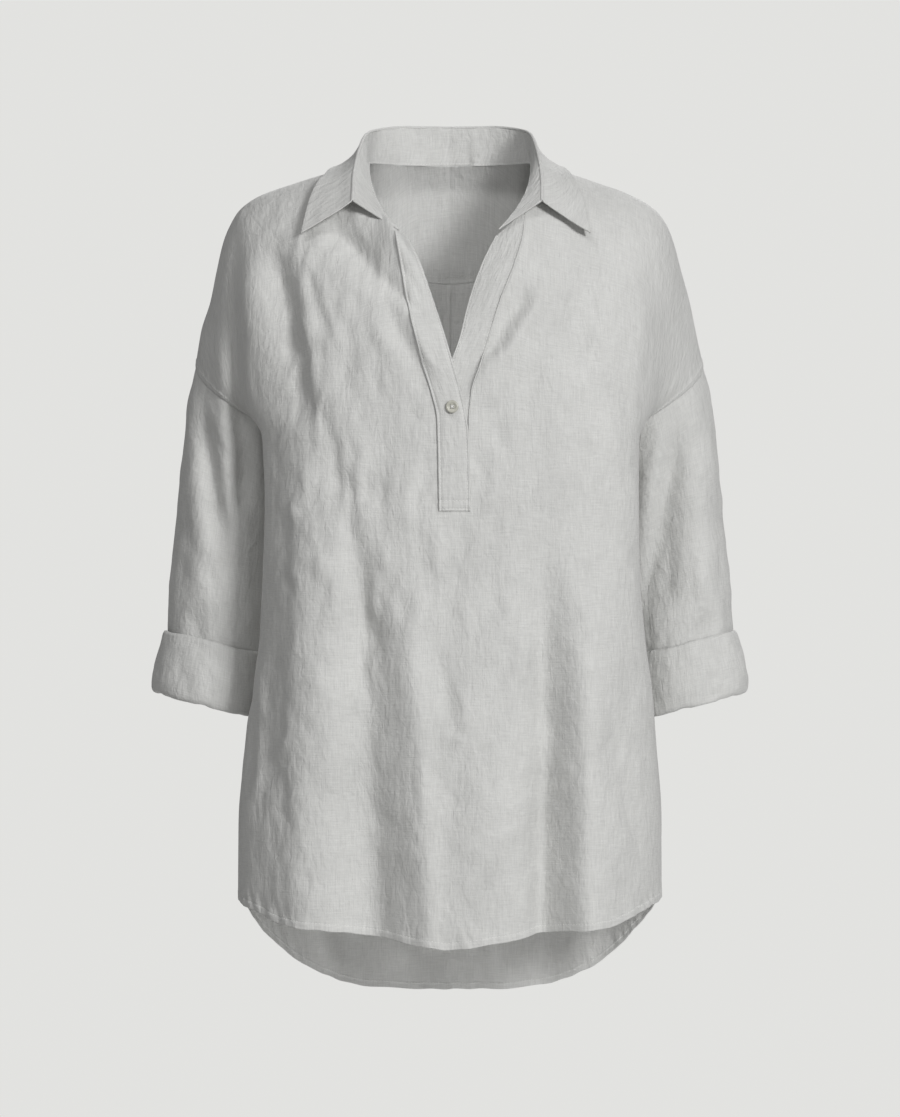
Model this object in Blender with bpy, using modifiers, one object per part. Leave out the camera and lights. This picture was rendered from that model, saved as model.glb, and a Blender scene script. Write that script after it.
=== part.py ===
"""Linen popover blouse, filled out as if worn, with a half placket and turned-up cuffs.

The front faces -Y and the wearer's right side is at -X.  The origin is the middle of the
neck, level with the collar seam.  Every size in the tables and functions is in
millimetres, and becomes metres when a piece is made.
"""
import math
from collections import namedtuple

import bmesh
import bpy
import numpy as np
from mathutils import Quaternion

MM = 0.001
WALL = 1.2                   # cloth
GAP = 0.3                    # between pieces that are sewn together
LIFT = WALL + GAP            # from one layer's middle to the next layer's middle

CHEST_HEIGHT = -252.0        # level of the underarm, where trunk and shoulders meet
FRONT_ROUND = 2.3            # superellipse powers of the trunk's front and back halves
BACK_ROUND = 1.88
ARC_FROM = 0.66              # share of the way to the armhole where its curve sets in
UNDERARM_TURN = 153.0        # degrees round the armhole from its top, by the front
UNDERARM_RISE = 0.20         # rise within which the armhole leaves the underarm's level
NECK_SHARE = 0.23            # the shoulder's neck point, on the shoulder line
NECK_WIDTH = 75.0
NECK_BACK = 15.0             # heights of the neck seam at centre back and at a neck point
NECK_SIDE = 12.0
SLOT_BOTTOM = -311.0         # lower end of the slot that the placket fills
SIDE_REACH = 300.0           # lengths of cloth that a share or rise of 1 stands for
YOKE_REACH = 180.0
SHOULDER_REACH = 120.0
STEP = 0.002                 # share used to find a surface's direction
FRONT_REACH_ACROSS = 260.0   # first guess at the front's reach for a share of 1
FRONT_REACH_UP = 420.0
FIND_STEPS = 25              # of closing in on a place of the front
FIND_PACE = 0.8
HALVINGS = 40

# Half widths to the wearer's right and left, depth of centre front, centre back and the
# widest point, and the side seam's angle behind that point, at each height.
Trunk = namedtuple("Trunk", "height right left front back widest seam")
TRUNK = (
    Trunk(-775, 197, 196, -133, 120, -10, 3),
    Trunk(-680, 196, 195, -133, 119, -13, 4),
    Trunk(-600, 195, 195, -131, 118, -20, 7),
    Trunk(-530, 190, 190, -129, 117, -28, 11),
    Trunk(-480, 183, 186, -127, 116, -34, 15),
    Trunk(-430, 175, 179, -125, 115, -40, 18),
    Trunk(-370, 172, 174, -122, 114, -43, 21),
    Trunk(-300, 170, 173, -120, 113, -45, 24),
    Trunk(-252, 172, 173, -118, 112, -45, 26),
)

# Height of the shirt-tail hem, from the centre line to the side seam.
Hem = namedtuple("Hem", "share front back")
HEM = (
    Hem(0.00, -707, -771),
    Hem(0.15, -699, -770),
    Hem(0.30, -693, -766),
    Hem(0.50, -687, -747),
    Hem(0.65, -678, -722),
    Hem(0.80, -672, -695),
    Hem(0.92, -669, -677),
    Hem(1.00, -668, -668),
)

# The shoulder line, from above the neck hole to the top of the armhole.
Shoulder = namedtuple("Shoulder", "share right left depth height")
SHOULDER = (
    Shoulder(0.000, 0, 0, 30, 42),
    Shoulder(0.116, 40, 40, 22, 36),
    Shoulder(0.230, 75, 75, 8, 12),
    Shoulder(0.314, 106, 103, 9, 4),
    Shoulder(0.407, 141, 135, 14, -6),
    Shoulder(0.502, 177, 170, 21, -18),
    Shoulder(0.573, 197, 192, 27, -31),
    Shoulder(0.625, 206, 203, 31, -45),
    Shoulder(0.667, 212, 209, 34, -59),
    Shoulder(0.747, 219, 217, 39, -87),
    Shoulder(0.827, 225, 225, 42, -115),
    Shoulder(0.907, 234, 231, 45, -143),
    Shoulder(1.000, 239, 238, 47, -176),
)

# Rings of the sleeve: distance of its outer and inner side from the centre line, their
# heights, the ring's middle depth and half depth, and how it sags between its two sides
# (1 is a flat ring).
Ring = namedtuple(
    "Ring", "share outer inner outer_height inner_height depth half_depth sag"
)
SLEEVE = (
    Ring(0.00, 239, 150, -176, -243, 47, 52, 0.62),
    Ring(0.10, 246, 153, -206, -268, 48, 52, 0.72),
    Ring(0.25, 251, 156, -255, -300, 49, 51, 0.87),
    Ring(0.45, 257, 160, -318, -345, 49, 50, 1.00),
    Ring(0.62, 263, 166, -372, -394, 49, 49, 1.00),
    Ring(0.80, 266, 171, -424, -446, 49, 49, 1.00),
    Ring(1.00, 268, 176, -468, -493, 49, 48, 1.00),
    Ring(1.07, 269, 177, -482, -508, 49, 48, 1.00),
)

# The turned-up cuff's outer layer, fold and inner layer: height between its lower and
# upper rim, and how far it stands out from the sleeve on the outer side.
Turn = namedtuple("Turn", "height out")
CUFF_TURN = (
    Turn(1.00, 4.0),
    Turn(0.75, 7.0),
    Turn(0.48, 10.5),
    Turn(0.24, 12.5),
    Turn(0.08, 11.5),
    Turn(0.00, 7.5),
    Turn(0.00, 2.5),
    Turn(0.05, -1.8),
    Turn(0.40, -1.8),
)
CUFF_BOTTOM = 1.07                 # the cuff's rims, as shares of the sleeve's length
CUFF_TOP = 0.80
CUFF_INNER_SIDE = 0.45             # its standing out there, as a share of the outer side's
CUFF_FOLD = 2.4                    # the least it stands out at its fold, all round
UNDERARM_EASE = 2.2                # clearance of sleeve and trunk where they part
UNDERARM_SPREAD = 36.0             # degrees of the armhole that the clearance fades over
FITTED_END = 0.15                  # share of the sleeve's length that follows the armhole

# Distance of the front's cut edge from the centre line: the neckline, then the seams of
# the placket's two bands.
Edge = namedtuple("Edge", "height right left")
FRONT_EDGE = (
    Edge(-311, 9.0, 16.2),
    Edge(-240, 10.5, 16.2),
    Edge(-207, 16.2, 18.5),
    Edge(-174, 26.0, 29.0),
    Edge(-128, 37.9, 43.5),
    Edge(-88, 45.3, 58.5),
    Edge(-60, 50.0, 66.0),
    Edge(-45, 59.0, 68.0),
    Edge(-31, 66.0, 68.5),
    Edge(-17, 71.5, 71.5),
    Edge(0, 74.6, 74.6),
    Edge(12, 75.0, 75.0),
)

# The placket's bands: places of the sewn edge and the free edge across the front, plus to
# the wearer's left, and how far the free edge turns in, at each height.
Band = namedtuple("Band", "height sewn free turned_in")
OVERLAP = (
    Band(-314, -9.8, 16.6, 0),
    Band(-232, -11.6, 14.4, 0),
    Band(-207, -17.0, 9.6, 0),
    Band(-182, -24.6, 2.7, 0),
    Band(-172, -27.0, 0.0, 1),
    Band(-128, -38.2, -13.7, 9),
    Band(-88, -45.0, -28.5, 14),
    Band(-60, -49.6, -43.0, 16),
)
UNDERLAP = (
    Band(-310, 15.3, -8.0, 0),
    Band(-240, 15.3, -8.0, 0),
    Band(-207, 17.4, -8.0, 0),
    Band(-182, 25.5, 0.0, 0),
    Band(-160, 32.0, 8.0, 1),
    Band(-124, 43.4, 17.0, 4),
    Band(-88, 57.2, 29.5, 6),
    Band(-60, 64.8, 43.5, 6),
    Band(-30, 67.2, 60.0, 5),
)
OVERLAP_TOPS = (-63.0, -67.0)      # heights of a band's upper end at its sewn and free edge
UNDERLAP_TOPS = (-31.0, -63.0)
OVERLAP_LIFT = 2.1                 # the bands' middles, out from the front's middle
UNDERLAP_LIFT = -0.9
TURN_IN_POWER = 1.5                # how late across a band the turning in sets in

# The collar on one side: the roll line, the outer edge and the swell between them, from
# centre back (share 0) to the front end (share 1).
Collar = namedtuple("Collar", "share roll_x roll_y roll_z edge_x edge_y edge_z bulge")
COLLAR = (
    Collar(0.00, 0, 77, 51, 0, 90, 2, 3),
    Collar(0.22, 38, 71, 51, 48, 82, 0, 2),
    Collar(0.42, 66, 47, 46, 86, 60, -6, -1),
    Collar(0.58, 76, 12, 38, 105, 16, 8, -5),
    Collar(0.74, 83, -24, 15, 117, -26, -6, -3),
    Collar(0.88, 86, -50, -11, 126, -49, -28, 1),
    Collar(1.00, 86, -70, -32, 132, -68, -60, 2),
)
COLLAR_LEAN = 0.03                 # share by which the collar's left side is narrower
STAND_LIFT = 2.0                   # of the stand's foot, out from the neckline
ROLL_LIFT = 0.6                    # of the fall, up from the stand's top
NECK_FRONT_SHARE = 0.56            # share round the collar where the shoulder line lies
NECK_END = -58.0                   # height of the neckline's front end
NECK_END_X = (48.0, 45.0)          # its distance from the centre, right and left

# The neckline on the front, as a share of the way from its front end out to a neck point.
Neckline = namedtuple("Neckline", "height out")
NECKLINE = (
    Neckline(-58, 0.00),
    Neckline(-45, 0.36),
    Neckline(-31, 0.67),
    Neckline(-17, 0.87),
    Neckline(0, 0.985),
    Neckline(12, 1.00),
)

# Largest folds of the cloth, as troughs (minus) and ridges, in the front view.
Fold = namedtuple("Fold", "x_top z_top x_low z_low width depth")
FRONT_FOLDS = (
    Fold(-168, -50, -128, -245, 14, -12),
    Fold(-124, -250, -138, -800, 20, 9),
    Fold(-106, -235, -74, -450, 12, -7),
    Fold(-82, -320, -68, -800, 20, -14),
    Fold(-74, -520, -64, -810, 30, -10),
    Fold(26, -400, 30, -760, 36, 5),
    Fold(84, -290, 90, -800, 15, -13),
    Fold(88, -520, 86, -810, 26, -10),
    Fold(130, -320, 134, -800, 20, 8),
    Fold(-188, -70, -176, -245, 12, 5),
    Fold(186, -90, 174, -245, 14, 4),
    Fold(128, -70, 112, -190, 14, -6),
)
BACK_FOLDS = (
    Fold(-140, -120, -118, -790, 17, -7),
    Fold(-92, -210, -84, -790, 26, 8),
    Fold(-48, -330, -40, -790, 15, -8),
    Fold(36, -290, 44, -790, 16, -8),
    Fold(88, -230, 84, -790, 27, 8),
    Fold(134, -130, 122, -790, 16, -7),
)
SLEEVE_FOLDS = (
    Fold(-226, -190, -216, -330, 12, -5),
    Fold(-234, -230, -228, -420, 14, 4),
    Fold(222, -200, 194, -410, 14, -6),
    Fold(238, -240, 236, -430, 14, 4),
)

PLEAT_HALF = 18.0                  # box pleat at centre back
PLEAT_RISE = 2.4
PLEAT_END = -420.0
PLEAT_SHARES = (0.0, 0.045, 0.081, 0.102, 0.165)   # columns on and beside the pleat
YOKE_CENTRE = 0.36                 # how far up the back the yoke seam lies
YOKE_SIDE = 0.70

BUTTON_PLACE = (1.8, -220.5)       # across and up
BUTTON_RADIUS = 5.8
BUTTON_THICK = 2.4
BUTTON_HOLE = 0.75
HOLE_SPACING = 1.25

# Counts of a piece's rows and columns of faces.
BELOW_SLOT_ROWS = 19
BESIDE_SLOT_ROWS = 3
OUTER_COLUMNS = 14                 # from a neck point to an armhole
UPPER_ROWS = 14                    # of the front, from the underarm to the shoulder line
BACK_UPPER_ROWS = 7
YOKE_ROWS = 6
SLEEVE_ROWS = 12
ARMHOLE_START = 0.006              # share of the sleeve's length left open at the armhole
SLEEVE_CROWDING = 1.1              # power that crowds the sleeve's rows to the armhole
COLLAR_COLUMNS = 32
STAND_ROWS = 3
FALL_ROWS = 5
BAND_ROWS = 19
BAND_COLUMNS = 3
BUTTON_STEPS = 24

CLOTH_COLOUR = (0.60, 0.60, 0.585, 1.0)
BUTTON_COLOUR = (0.55, 0.54, 0.48, 1.0)


def smooth(share):
    """Eases from 0 to 1 as share goes from 0 to 1."""
    share = np.clip(share, 0.0, 1.0)
    return share * share * (3.0 - 2.0 * share)


def read(rows, key, name):
    """One column of a table at key, on a smooth curve that doesn't overshoot its rows."""
    knots = np.array([row[0] for row in rows], dtype=float)
    values = np.array([getattr(row, name) for row in rows], dtype=float)
    steps = np.diff(knots)
    slopes = np.diff(values) / steps
    tangents = np.concatenate((slopes[:1], slopes[1:], slopes[-1:]))
    for index in range(1, len(slopes)):
        before, after = slopes[index - 1], slopes[index]
        same_way = before * after > 0.0
        tangents[index] = 2.0 * before * after / (before + after) if same_way else 0.0
    key = np.clip(np.asarray(key, dtype=float), knots[0], knots[-1])
    span = np.clip(np.searchsorted(knots, key, side="right") - 1, 0, len(steps) - 1)
    step = steps[span]
    part = (key - knots[span]) / step
    rest = 1.0 - part
    return (
        values[span] * (1.0 + 2.0 * part) * rest * rest
        + tangents[span] * step * part * rest * rest
        + values[span + 1] * part * part * (3.0 - 2.0 * part)
        - tangents[span + 1] * step * part * part * rest
    )


def stack(x, y, z):
    """Points from their three coordinates."""
    return np.stack(np.broadcast_arrays(x, y, z), axis=-1).astype(float)


def sided(rows, key, side):
    """The right or left column of a table, by the sign of side."""
    return np.where(side < 0, read(rows, key, "right"), read(rows, key, "left"))


def trunk_point(face, share, height):
    """The trunk at a height, share of the way from the centre line to the side seam."""
    away = np.abs(share)
    side = np.where(share < 0, -1.0, 1.0)
    seam = np.radians(read(TRUNK, height, "seam"))
    if face == "front":
        turn = away * (math.pi / 2 + seam)
    else:
        turn = math.pi - away * (math.pi / 2 - seam)
    widest = read(TRUNK, height, "widest")
    ahead = np.cos(turn) >= 0.0
    power = np.where(ahead, 2.0 / FRONT_ROUND, 2.0 / BACK_ROUND)
    reach = np.where(
        ahead,
        read(TRUNK, height, "front") - widest,
        read(TRUNK, height, "back") - widest,
    )
    out = sided(TRUNK, height, side) * np.abs(np.sin(turn)) ** power
    return stack(side * out, widest + reach * np.abs(np.cos(turn)) ** power, height)


def ring_point(ring, side, turn, out=0.0):
    """A ring of the sleeve or cuff; turn is 0 at its outer side and grows by the front."""
    middle = (ring.outer + ring.inner) / 2
    half = (ring.outer - ring.inner) / 2 + out
    way_in = np.abs((1.0 - np.cos(turn)) / 2.0) ** ring.sag
    return stack(
        side * (middle + half * np.cos(turn)),
        ring.depth - (ring.half_depth + out) * np.sin(turn),
        ring.outer_height + (ring.inner_height - ring.outer_height) * way_in,
    )


def sleeve_ring(share):
    """The sleeve's ring at a share of its length."""
    return Ring(share, *(read(SLEEVE, share, name) for name in Ring._fields[1:]))


def upper_point(face, share, rise):
    """The shoulders: rise goes from 0 at the underarm's level to 1 on the shoulder line."""
    away = np.abs(share)
    side = np.where(share < 0, -1.0, 1.0)
    low = trunk_point(face, share, np.full(np.shape(share), CHEST_HEIGHT))
    high = stack(
        side * sided(SHOULDER, away, side),
        read(SHOULDER, away, "depth"),
        read(SHOULDER, away, "height"),
    )
    turn = rise * math.pi / 2
    ease = (1.0 - np.cos(math.pi * rise)) / 2.0
    weights = stack(ease, 1.0 - np.cos(turn), np.sin(turn))
    dome = low + (high - low) * weights

    underarm = math.radians(UNDERARM_TURN)
    if face == "front":
        round_armhole = underarm * (1.0 - rise)
    else:
        round_armhole = underarm + (2 * math.pi - underarm) * rise
    armhole = ring_point(SLEEVE[0], side, round_armhole)
    corner = ring_point(SLEEVE[0], side, underarm)
    top = ring_point(SLEEVE[0], side, 0.0)
    eased = ease[..., None]
    arc = low + (high - low) * eased + armhole - corner - (top - corner) * eased
    soon = smooth(rise / UNDERARM_RISE) - ease
    arc[..., 2] += (corner[..., 2] - CHEST_HEIGHT) * soon

    blend = smooth((away - ARC_FROM) / (1.0 - ARC_FROM))[..., None]
    return dome * (1.0 - blend) + arc * blend


def cloth_point(face, share, rise):
    """The plain front or back: rise is -1 at the hem and 1 on the shoulder line."""
    share = np.asarray(share, dtype=float)
    rise = np.asarray(rise, dtype=float)
    share, rise = np.broadcast_arrays(share, rise)
    hem = read(HEM, np.abs(share), face)
    height = CHEST_HEIGHT + (CHEST_HEIGHT - hem) * np.minimum(rise, 0.0)
    lower = trunk_point(face, share, height)
    upper = upper_point(face, share, np.maximum(rise, 0.0))
    return np.where((rise < 0.0)[..., None], lower, upper)


def outward(face, share, rise):
    """The direction that points out of the cloth."""
    across = cloth_point(face, np.clip(share + STEP, -1, 1), rise)
    across = across - cloth_point(face, np.clip(share - STEP, -1, 1), rise)
    up = cloth_point(face, share, np.clip(rise + STEP, -1, 1))
    up = up - cloth_point(face, share, np.clip(rise - STEP, -1, 1))
    normal = np.cross(across, up)
    if face == "back":
        normal = -normal
    return normal / np.linalg.norm(normal, axis=-1, keepdims=True)


def fold_height(folds, x, z):
    """How far the folds of a table move the cloth out at a place in the front view."""
    total = np.zeros(np.shape(x))
    for fold in folds:
        run = np.array((fold.x_low - fold.x_top, fold.z_low - fold.z_top), dtype=float)
        length = np.hypot(*run)
        run = run / length
        along = ((x - fold.x_top) * run[0] + (z - fold.z_top) * run[1]) / length
        off = (x - fold.x_top) * run[1] - (z - fold.z_top) * run[0]
        ends = smooth(along / 0.3) * smooth((1.0 - along) / 0.15)
        total = total + fold.depth * np.exp(-((off / fold.width) ** 2)) * ends
    return total


def cloth(face, share, rise, lift=0.0):
    """The front or back with its folds and pleat, moved out by lift."""
    share = np.asarray(share, dtype=float)
    rise = np.asarray(rise, dtype=float)
    share, rise = np.broadcast_arrays(share, rise)
    place = cloth_point(face, share, rise)
    folds = FRONT_FOLDS if face == "front" else BACK_FOLDS
    x, z = place[..., 0], place[..., 2]
    still = smooth((1.0 - np.abs(share)) / 0.14) * smooth((0.9 - rise) / 0.35)
    out = fold_height(folds, x, z) * still
    if face == "back":
        on_pleat = smooth((PLEAT_HALF + 4.0 - np.abs(x)) / 4.0)
        out = out + PLEAT_RISE * on_pleat * smooth((z - PLEAT_END) / 200.0)
    return place + outward(face, share, rise) * (out + lift)[..., None]


def find_front(x, z):
    """The share and rise at which the plain front shows at a place in the front view."""
    share = np.asarray(x, dtype=float) / FRONT_REACH_ACROSS
    rise = (np.asarray(z, dtype=float) - CHEST_HEIGHT) / FRONT_REACH_UP
    for _ in range(FIND_STEPS):
        here = cloth_point("front", share, rise)
        across = cloth_point("front", share + STEP, rise) - here
        up = cloth_point("front", share, rise + STEP) - here
        share = share + FIND_PACE * STEP * (x - here[..., 0]) / across[..., 0]
        rise = rise + FIND_PACE * STEP * (z - here[..., 2]) / up[..., 2]
        share = np.clip(share, -0.95, 0.95)
        rise = np.clip(rise, -0.99, 0.99)
    return share, rise


def halve(low, high, is_low):
    """Closes in on the value between low and high where is_low stops being true."""
    for _ in range(HALVINGS):
        middle = (low + high) / 2.0
        inside = is_low(middle)
        low = np.where(inside, middle, low)
        high = np.where(inside, high, middle)
    return (low + high) / 2.0


def front_edge_share(side, rise):
    """Share at which each row of the front's halves starts: its neckline or slot."""
    def before_edge(away):
        place = cloth_point("front", side * away, rise)
        return np.abs(place[..., 0]) < sided(FRONT_EDGE, place[..., 2], side)

    rise = np.asarray(rise, dtype=float)
    edge = halve(np.zeros(rise.shape), np.full(rise.shape, 0.6), before_edge)
    return np.where(rise >= 1.0, NECK_SHARE, edge)


def back_neck_rise(share):
    """Rise at which each column of the yoke ends, at the neckline or the shoulder line."""
    def below_edge(rise):
        place = cloth_point("back", share, rise)
        toward_side = np.abs(place[..., 0]) / NECK_WIDTH
        return place[..., 2] < NECK_BACK - (NECK_BACK - NECK_SIDE) * toward_side ** 4

    share = np.asarray(share, dtype=float)
    edge = halve(np.full(share.shape, 0.3), np.ones(share.shape), below_edge)
    return np.where(np.abs(share) < NECK_SHARE, edge, 1.0)


def yoke_seam(share):
    """Rise of the seam between the back and the yoke."""
    return YOKE_CENTRE + (YOKE_SIDE - YOKE_CENTRE) * np.abs(share) ** 1.5


def fabric(name, colour, roughness):
    """A plain material for a piece."""
    material = bpy.data.materials.new(name)
    material.use_nodes = True
    shader = material.node_tree.nodes["Principled BSDF"]
    shader.inputs["Base Color"].default_value = colour
    shader.inputs["Roughness"].default_value = roughness
    material.diffuse_color = colour
    return material


def add_grid(mesh, points):
    """Adds a grid of faces through rows and columns of points in millimetres."""
    rows, columns = points.shape[:2]
    made = bmesh.ops.create_grid(
        mesh, x_segments=columns - 1, y_segments=rows - 1, size=0.5
    )["verts"]
    for vertex in made:
        column = round((vertex.co.x + 0.5) * (columns - 1))
        row = round((vertex.co.y + 0.5) * (rows - 1))
        vertex.co = points[row, column] * MM


def make_piece(collection, name, grids, colour=CLOTH_COLOUR, wall=WALL):
    """A piece of cloth: one or more grids, joined where they meet, with a wall."""
    mesh = bmesh.new()
    for points in grids:
        add_grid(mesh, points)
    bmesh.ops.remove_doubles(mesh, verts=mesh.verts, dist=0.00002)
    data = bpy.data.meshes.new(name)
    mesh.to_mesh(data)
    mesh.free()
    data.materials.append(fabric(name + "_linen", colour, 0.9))
    data.shade_smooth()
    piece = bpy.data.objects.new(name, data)
    collection.objects.link(piece)
    solid = piece.modifiers.new("wall", "SOLIDIFY")
    solid.thickness = wall * MM
    solid.offset = 0.0
    return piece


def clear_of_side(share):
    """Shares pulled back from the side seam and armhole so that the pieces stay apart."""
    limit = 1.0 - GAP / SIDE_REACH
    return np.sign(share) * np.minimum(np.abs(share), limit)


def trunk_rows():
    """Rises of the rows from the hem to the slot's lower end, and on to the underarm."""
    slot = (SLOT_BOTTOM - CHEST_HEIGHT) / (CHEST_HEIGHT - HEM[0].front)
    below = np.linspace(-1.0, slot, BELOW_SLOT_ROWS + 1)
    return below, np.linspace(slot, 0.0, BESIDE_SLOT_ROWS + 1)[1:]


def outer_shares(start):
    """Shares of the columns from a starting share to the armhole and side seam."""
    spread = np.linspace(0.0, 1.0, OUTER_COLUMNS + 1)
    return start + (1.0 - start) * spread


def back_shares():
    """Shares of the back's and the yoke's columns, pairs at the pleat's edges included."""
    half = np.concatenate((PLEAT_SHARES, outer_shares(NECK_SHARE)))
    return np.concatenate((-half[:0:-1], half))


def make_front(collection):
    """The front in one piece, slit from the neck to the lower end of the placket."""
    below_slot, beside_slot = trunk_rows()
    shoulders = np.linspace(0.0, 1.0, UPPER_ROWS + 1)[1:]
    rise = np.concatenate((below_slot, beside_slot, shoulders))
    grids = []
    starts = []
    for side in (-1.0, 1.0):
        start = front_edge_share(side, rise)
        share = side * outer_shares(start[:, None])
        top = 1.0 - GAP / SHOULDER_REACH
        level = np.minimum(np.broadcast_to(rise[:, None], share.shape), top)
        points = cloth("front", clear_of_side(share), level)
        grids.append(points if side > 0 else points[:, ::-1])
        starts.append(side * start[:len(below_slot)])
    part = np.linspace(0.0, 1.0, 3)
    middle = starts[0][:, None] * (1.0 - part) + starts[1][:, None] * part
    grids.append(cloth("front", middle, below_slot[:, None]))
    make_piece(collection, "front", grids)


def make_back(collection):
    """The back below the yoke, with a box pleat at its centre."""
    share = back_shares()
    seam = yoke_seam(share)
    lower = np.concatenate(trunk_rows())
    upper = np.linspace(0.0, 1.0, BACK_UPPER_ROWS + 1)[1:]
    top = seam - GAP / 2 / YOKE_REACH
    rise = np.concatenate(
        (
            np.broadcast_to(lower[:, None], (len(lower), len(share))),
            upper[:, None] * top[None, :],
        )
    )
    make_piece(collection, "back", [cloth("back", clear_of_side(share), rise)])


def make_yoke(collection):
    """The yoke, from its seam on the back to the neckline and the shoulder lines."""
    share = back_shares()
    low = yoke_seam(share) + GAP / 2 / YOKE_REACH
    high = np.minimum(back_neck_rise(share), 1.0 - GAP / SHOULDER_REACH)
    part = np.linspace(0.0, 1.0, YOKE_ROWS + 1)[:, None]
    rise = low + (high - low) * part
    make_piece(collection, "yoke", [cloth("back", clear_of_side(share), rise)])


def armhole_point(side, turn):
    """The armhole as the front and the back leave it, by the turn round it."""
    underarm = math.radians(UNDERARM_TURN)
    ahead = turn <= underarm
    rise_front = np.clip(1.0 - turn / underarm, 0.0, 1.0)
    rise_back = np.clip((turn - underarm) / (2 * math.pi - underarm), 0.0, 1.0)
    share = np.full(np.shape(turn), side)
    by_front = cloth_point("front", share, rise_front)
    by_back = cloth_point("back", share, rise_back)
    return np.where(ahead[..., None], by_front, by_back)


def sleeve_point(side, turn, along, out=0.0):
    """The sleeve with its folds, from the armhole (along 0) into the cuff (along 1)."""
    rings = sleeve_ring(along)
    place = ring_point(rings, side, turn, out)
    fitted = armhole_point(side, turn) - ring_point(SLEEVE[0], side, turn)
    place = place + fitted * (1.0 - smooth(along / FITTED_END))[..., None]
    direction = stack(side * np.cos(turn), -np.sin(turn), 0.0)
    off = (turn - math.radians(UNDERARM_TURN)) / math.radians(UNDERARM_SPREAD)
    below = 1.0 - smooth((along - FITTED_END) / 0.3)
    ease = UNDERARM_EASE * np.exp(-(off ** 2)) * below
    place = place - direction * ease[..., None]
    fades = smooth((along - 0.05) / 0.2) * smooth((0.85 - along) / 0.15)
    ahead = smooth(np.sin(turn) + 0.6)
    height = fold_height(SLEEVE_FOLDS, place[..., 0], place[..., 2]) * fades * ahead
    behind = fold_height(SLEEVE_FOLDS, -place[..., 0], place[..., 2]) * fades * (1.0 - ahead)
    return place + direction * (height + behind)[..., None]


def sleeve_turns():
    """Turns round the sleeve that meet the rows of the front, the back and the yoke."""
    underarm = math.radians(UNDERARM_TURN)
    by_front = np.linspace(0.0, underarm, UPPER_ROWS + 1)
    seam = underarm + (2 * math.pi - underarm) * YOKE_SIDE
    by_back = np.linspace(underarm, seam, BACK_UPPER_ROWS + 1)[1:]
    by_yoke = np.linspace(seam, 2 * math.pi, YOKE_ROWS + 1)[1:]
    return np.concatenate((by_front, by_back, by_yoke))


def make_sleeve(collection, name, side):
    """A sleeve from the armhole to just above the cuff's fold."""
    along = np.linspace(0.0, 1.0, SLEEVE_ROWS + 1) ** SLEEVE_CROWDING
    along = np.maximum(along, ARMHOLE_START)
    turn, along = np.meshgrid(sleeve_turns(), along)
    make_piece(collection, name, [sleeve_point(side, turn, along)])


def cuff_point(side, turn, height, out):
    """The cuff: height is 0 on its lower rim and 1 on its upper rim."""
    rings = sleeve_ring(CUFF_BOTTOM + (CUFF_TOP - CUFF_BOTTOM) * height)
    least = np.minimum(out, CUFF_FOLD)
    fuller = CUFF_INNER_SIDE + (1.0 - CUFF_INNER_SIDE) * (1.0 + np.cos(turn)) / 2.0
    return ring_point(rings, side, turn, least + (out - least) * fuller)


def make_cuff(collection, name, side):
    """A turned-up cuff: outer layer, fold and inner layer, with the sleeve's end inside."""
    turn = sleeve_turns()
    heights = np.array([row.height for row in CUFF_TURN])
    outs = np.array([row.out for row in CUFF_TURN])
    turn, height = np.meshgrid(turn, heights)
    out = np.broadcast_to(outs[:, None], turn.shape)
    make_piece(collection, name, [cuff_point(side, turn, height, out)])


def neck_point(turn):
    """The neckline from the front right end (-1) by centre back (0) to the left (1)."""
    turn = np.asarray(turn, dtype=float)
    away = np.abs(turn)
    side = np.where(turn < 0, -1.0, 1.0)
    back_part = np.clip(away / NECK_FRONT_SHARE, 0.0, 1.0)
    share = side * NECK_SHARE * np.sin(back_part * math.pi / 2)
    rise = back_neck_rise(share)
    behind = cloth("back", share, rise)
    behind_out = outward("back", share, rise)

    front_part = np.clip((away - NECK_FRONT_SHARE) / (1.0 - NECK_FRONT_SHARE), 0.0, 1.0)
    rise_end = find_front(NECK_END_X[0], NECK_END)[1]
    rise = 1.0 - (1.0 - rise_end) * front_part
    share = side * front_neck_share(side, rise)
    ahead = cloth("front", share, rise)
    ahead_out = outward("front", share, rise)
    in_front = (away > NECK_FRONT_SHARE)[..., None]
    return np.where(in_front, ahead, behind), np.where(in_front, ahead_out, behind_out)


def front_neck_share(side, rise):
    """Share at which the neckline crosses each row of the front, the bands included."""
    def before_edge(away):
        place = cloth_point("front", side * away, rise)
        end = np.where(side < 0, NECK_END_X[0], NECK_END_X[1])
        shape = read(NECKLINE, place[..., 2], "out")
        return np.abs(place[..., 0]) < end + (NECK_WIDTH - end) * shape

    edge = halve(np.zeros(rise.shape), np.full(rise.shape, 0.6), before_edge)
    return np.where(rise >= 0.999, NECK_SHARE, edge)


def collar_line(turn, line):
    """The roll line or the outer edge of the collar."""
    away = np.abs(turn)
    side = np.where(turn < 0, -1.0, 1.0)
    lean = 1.0 - COLLAR_LEAN * side * away
    return stack(
        side * read(COLLAR, away, line + "_x") * lean,
        read(COLLAR, away, line + "_y"),
        read(COLLAR, away, line + "_z"),
    )


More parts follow.
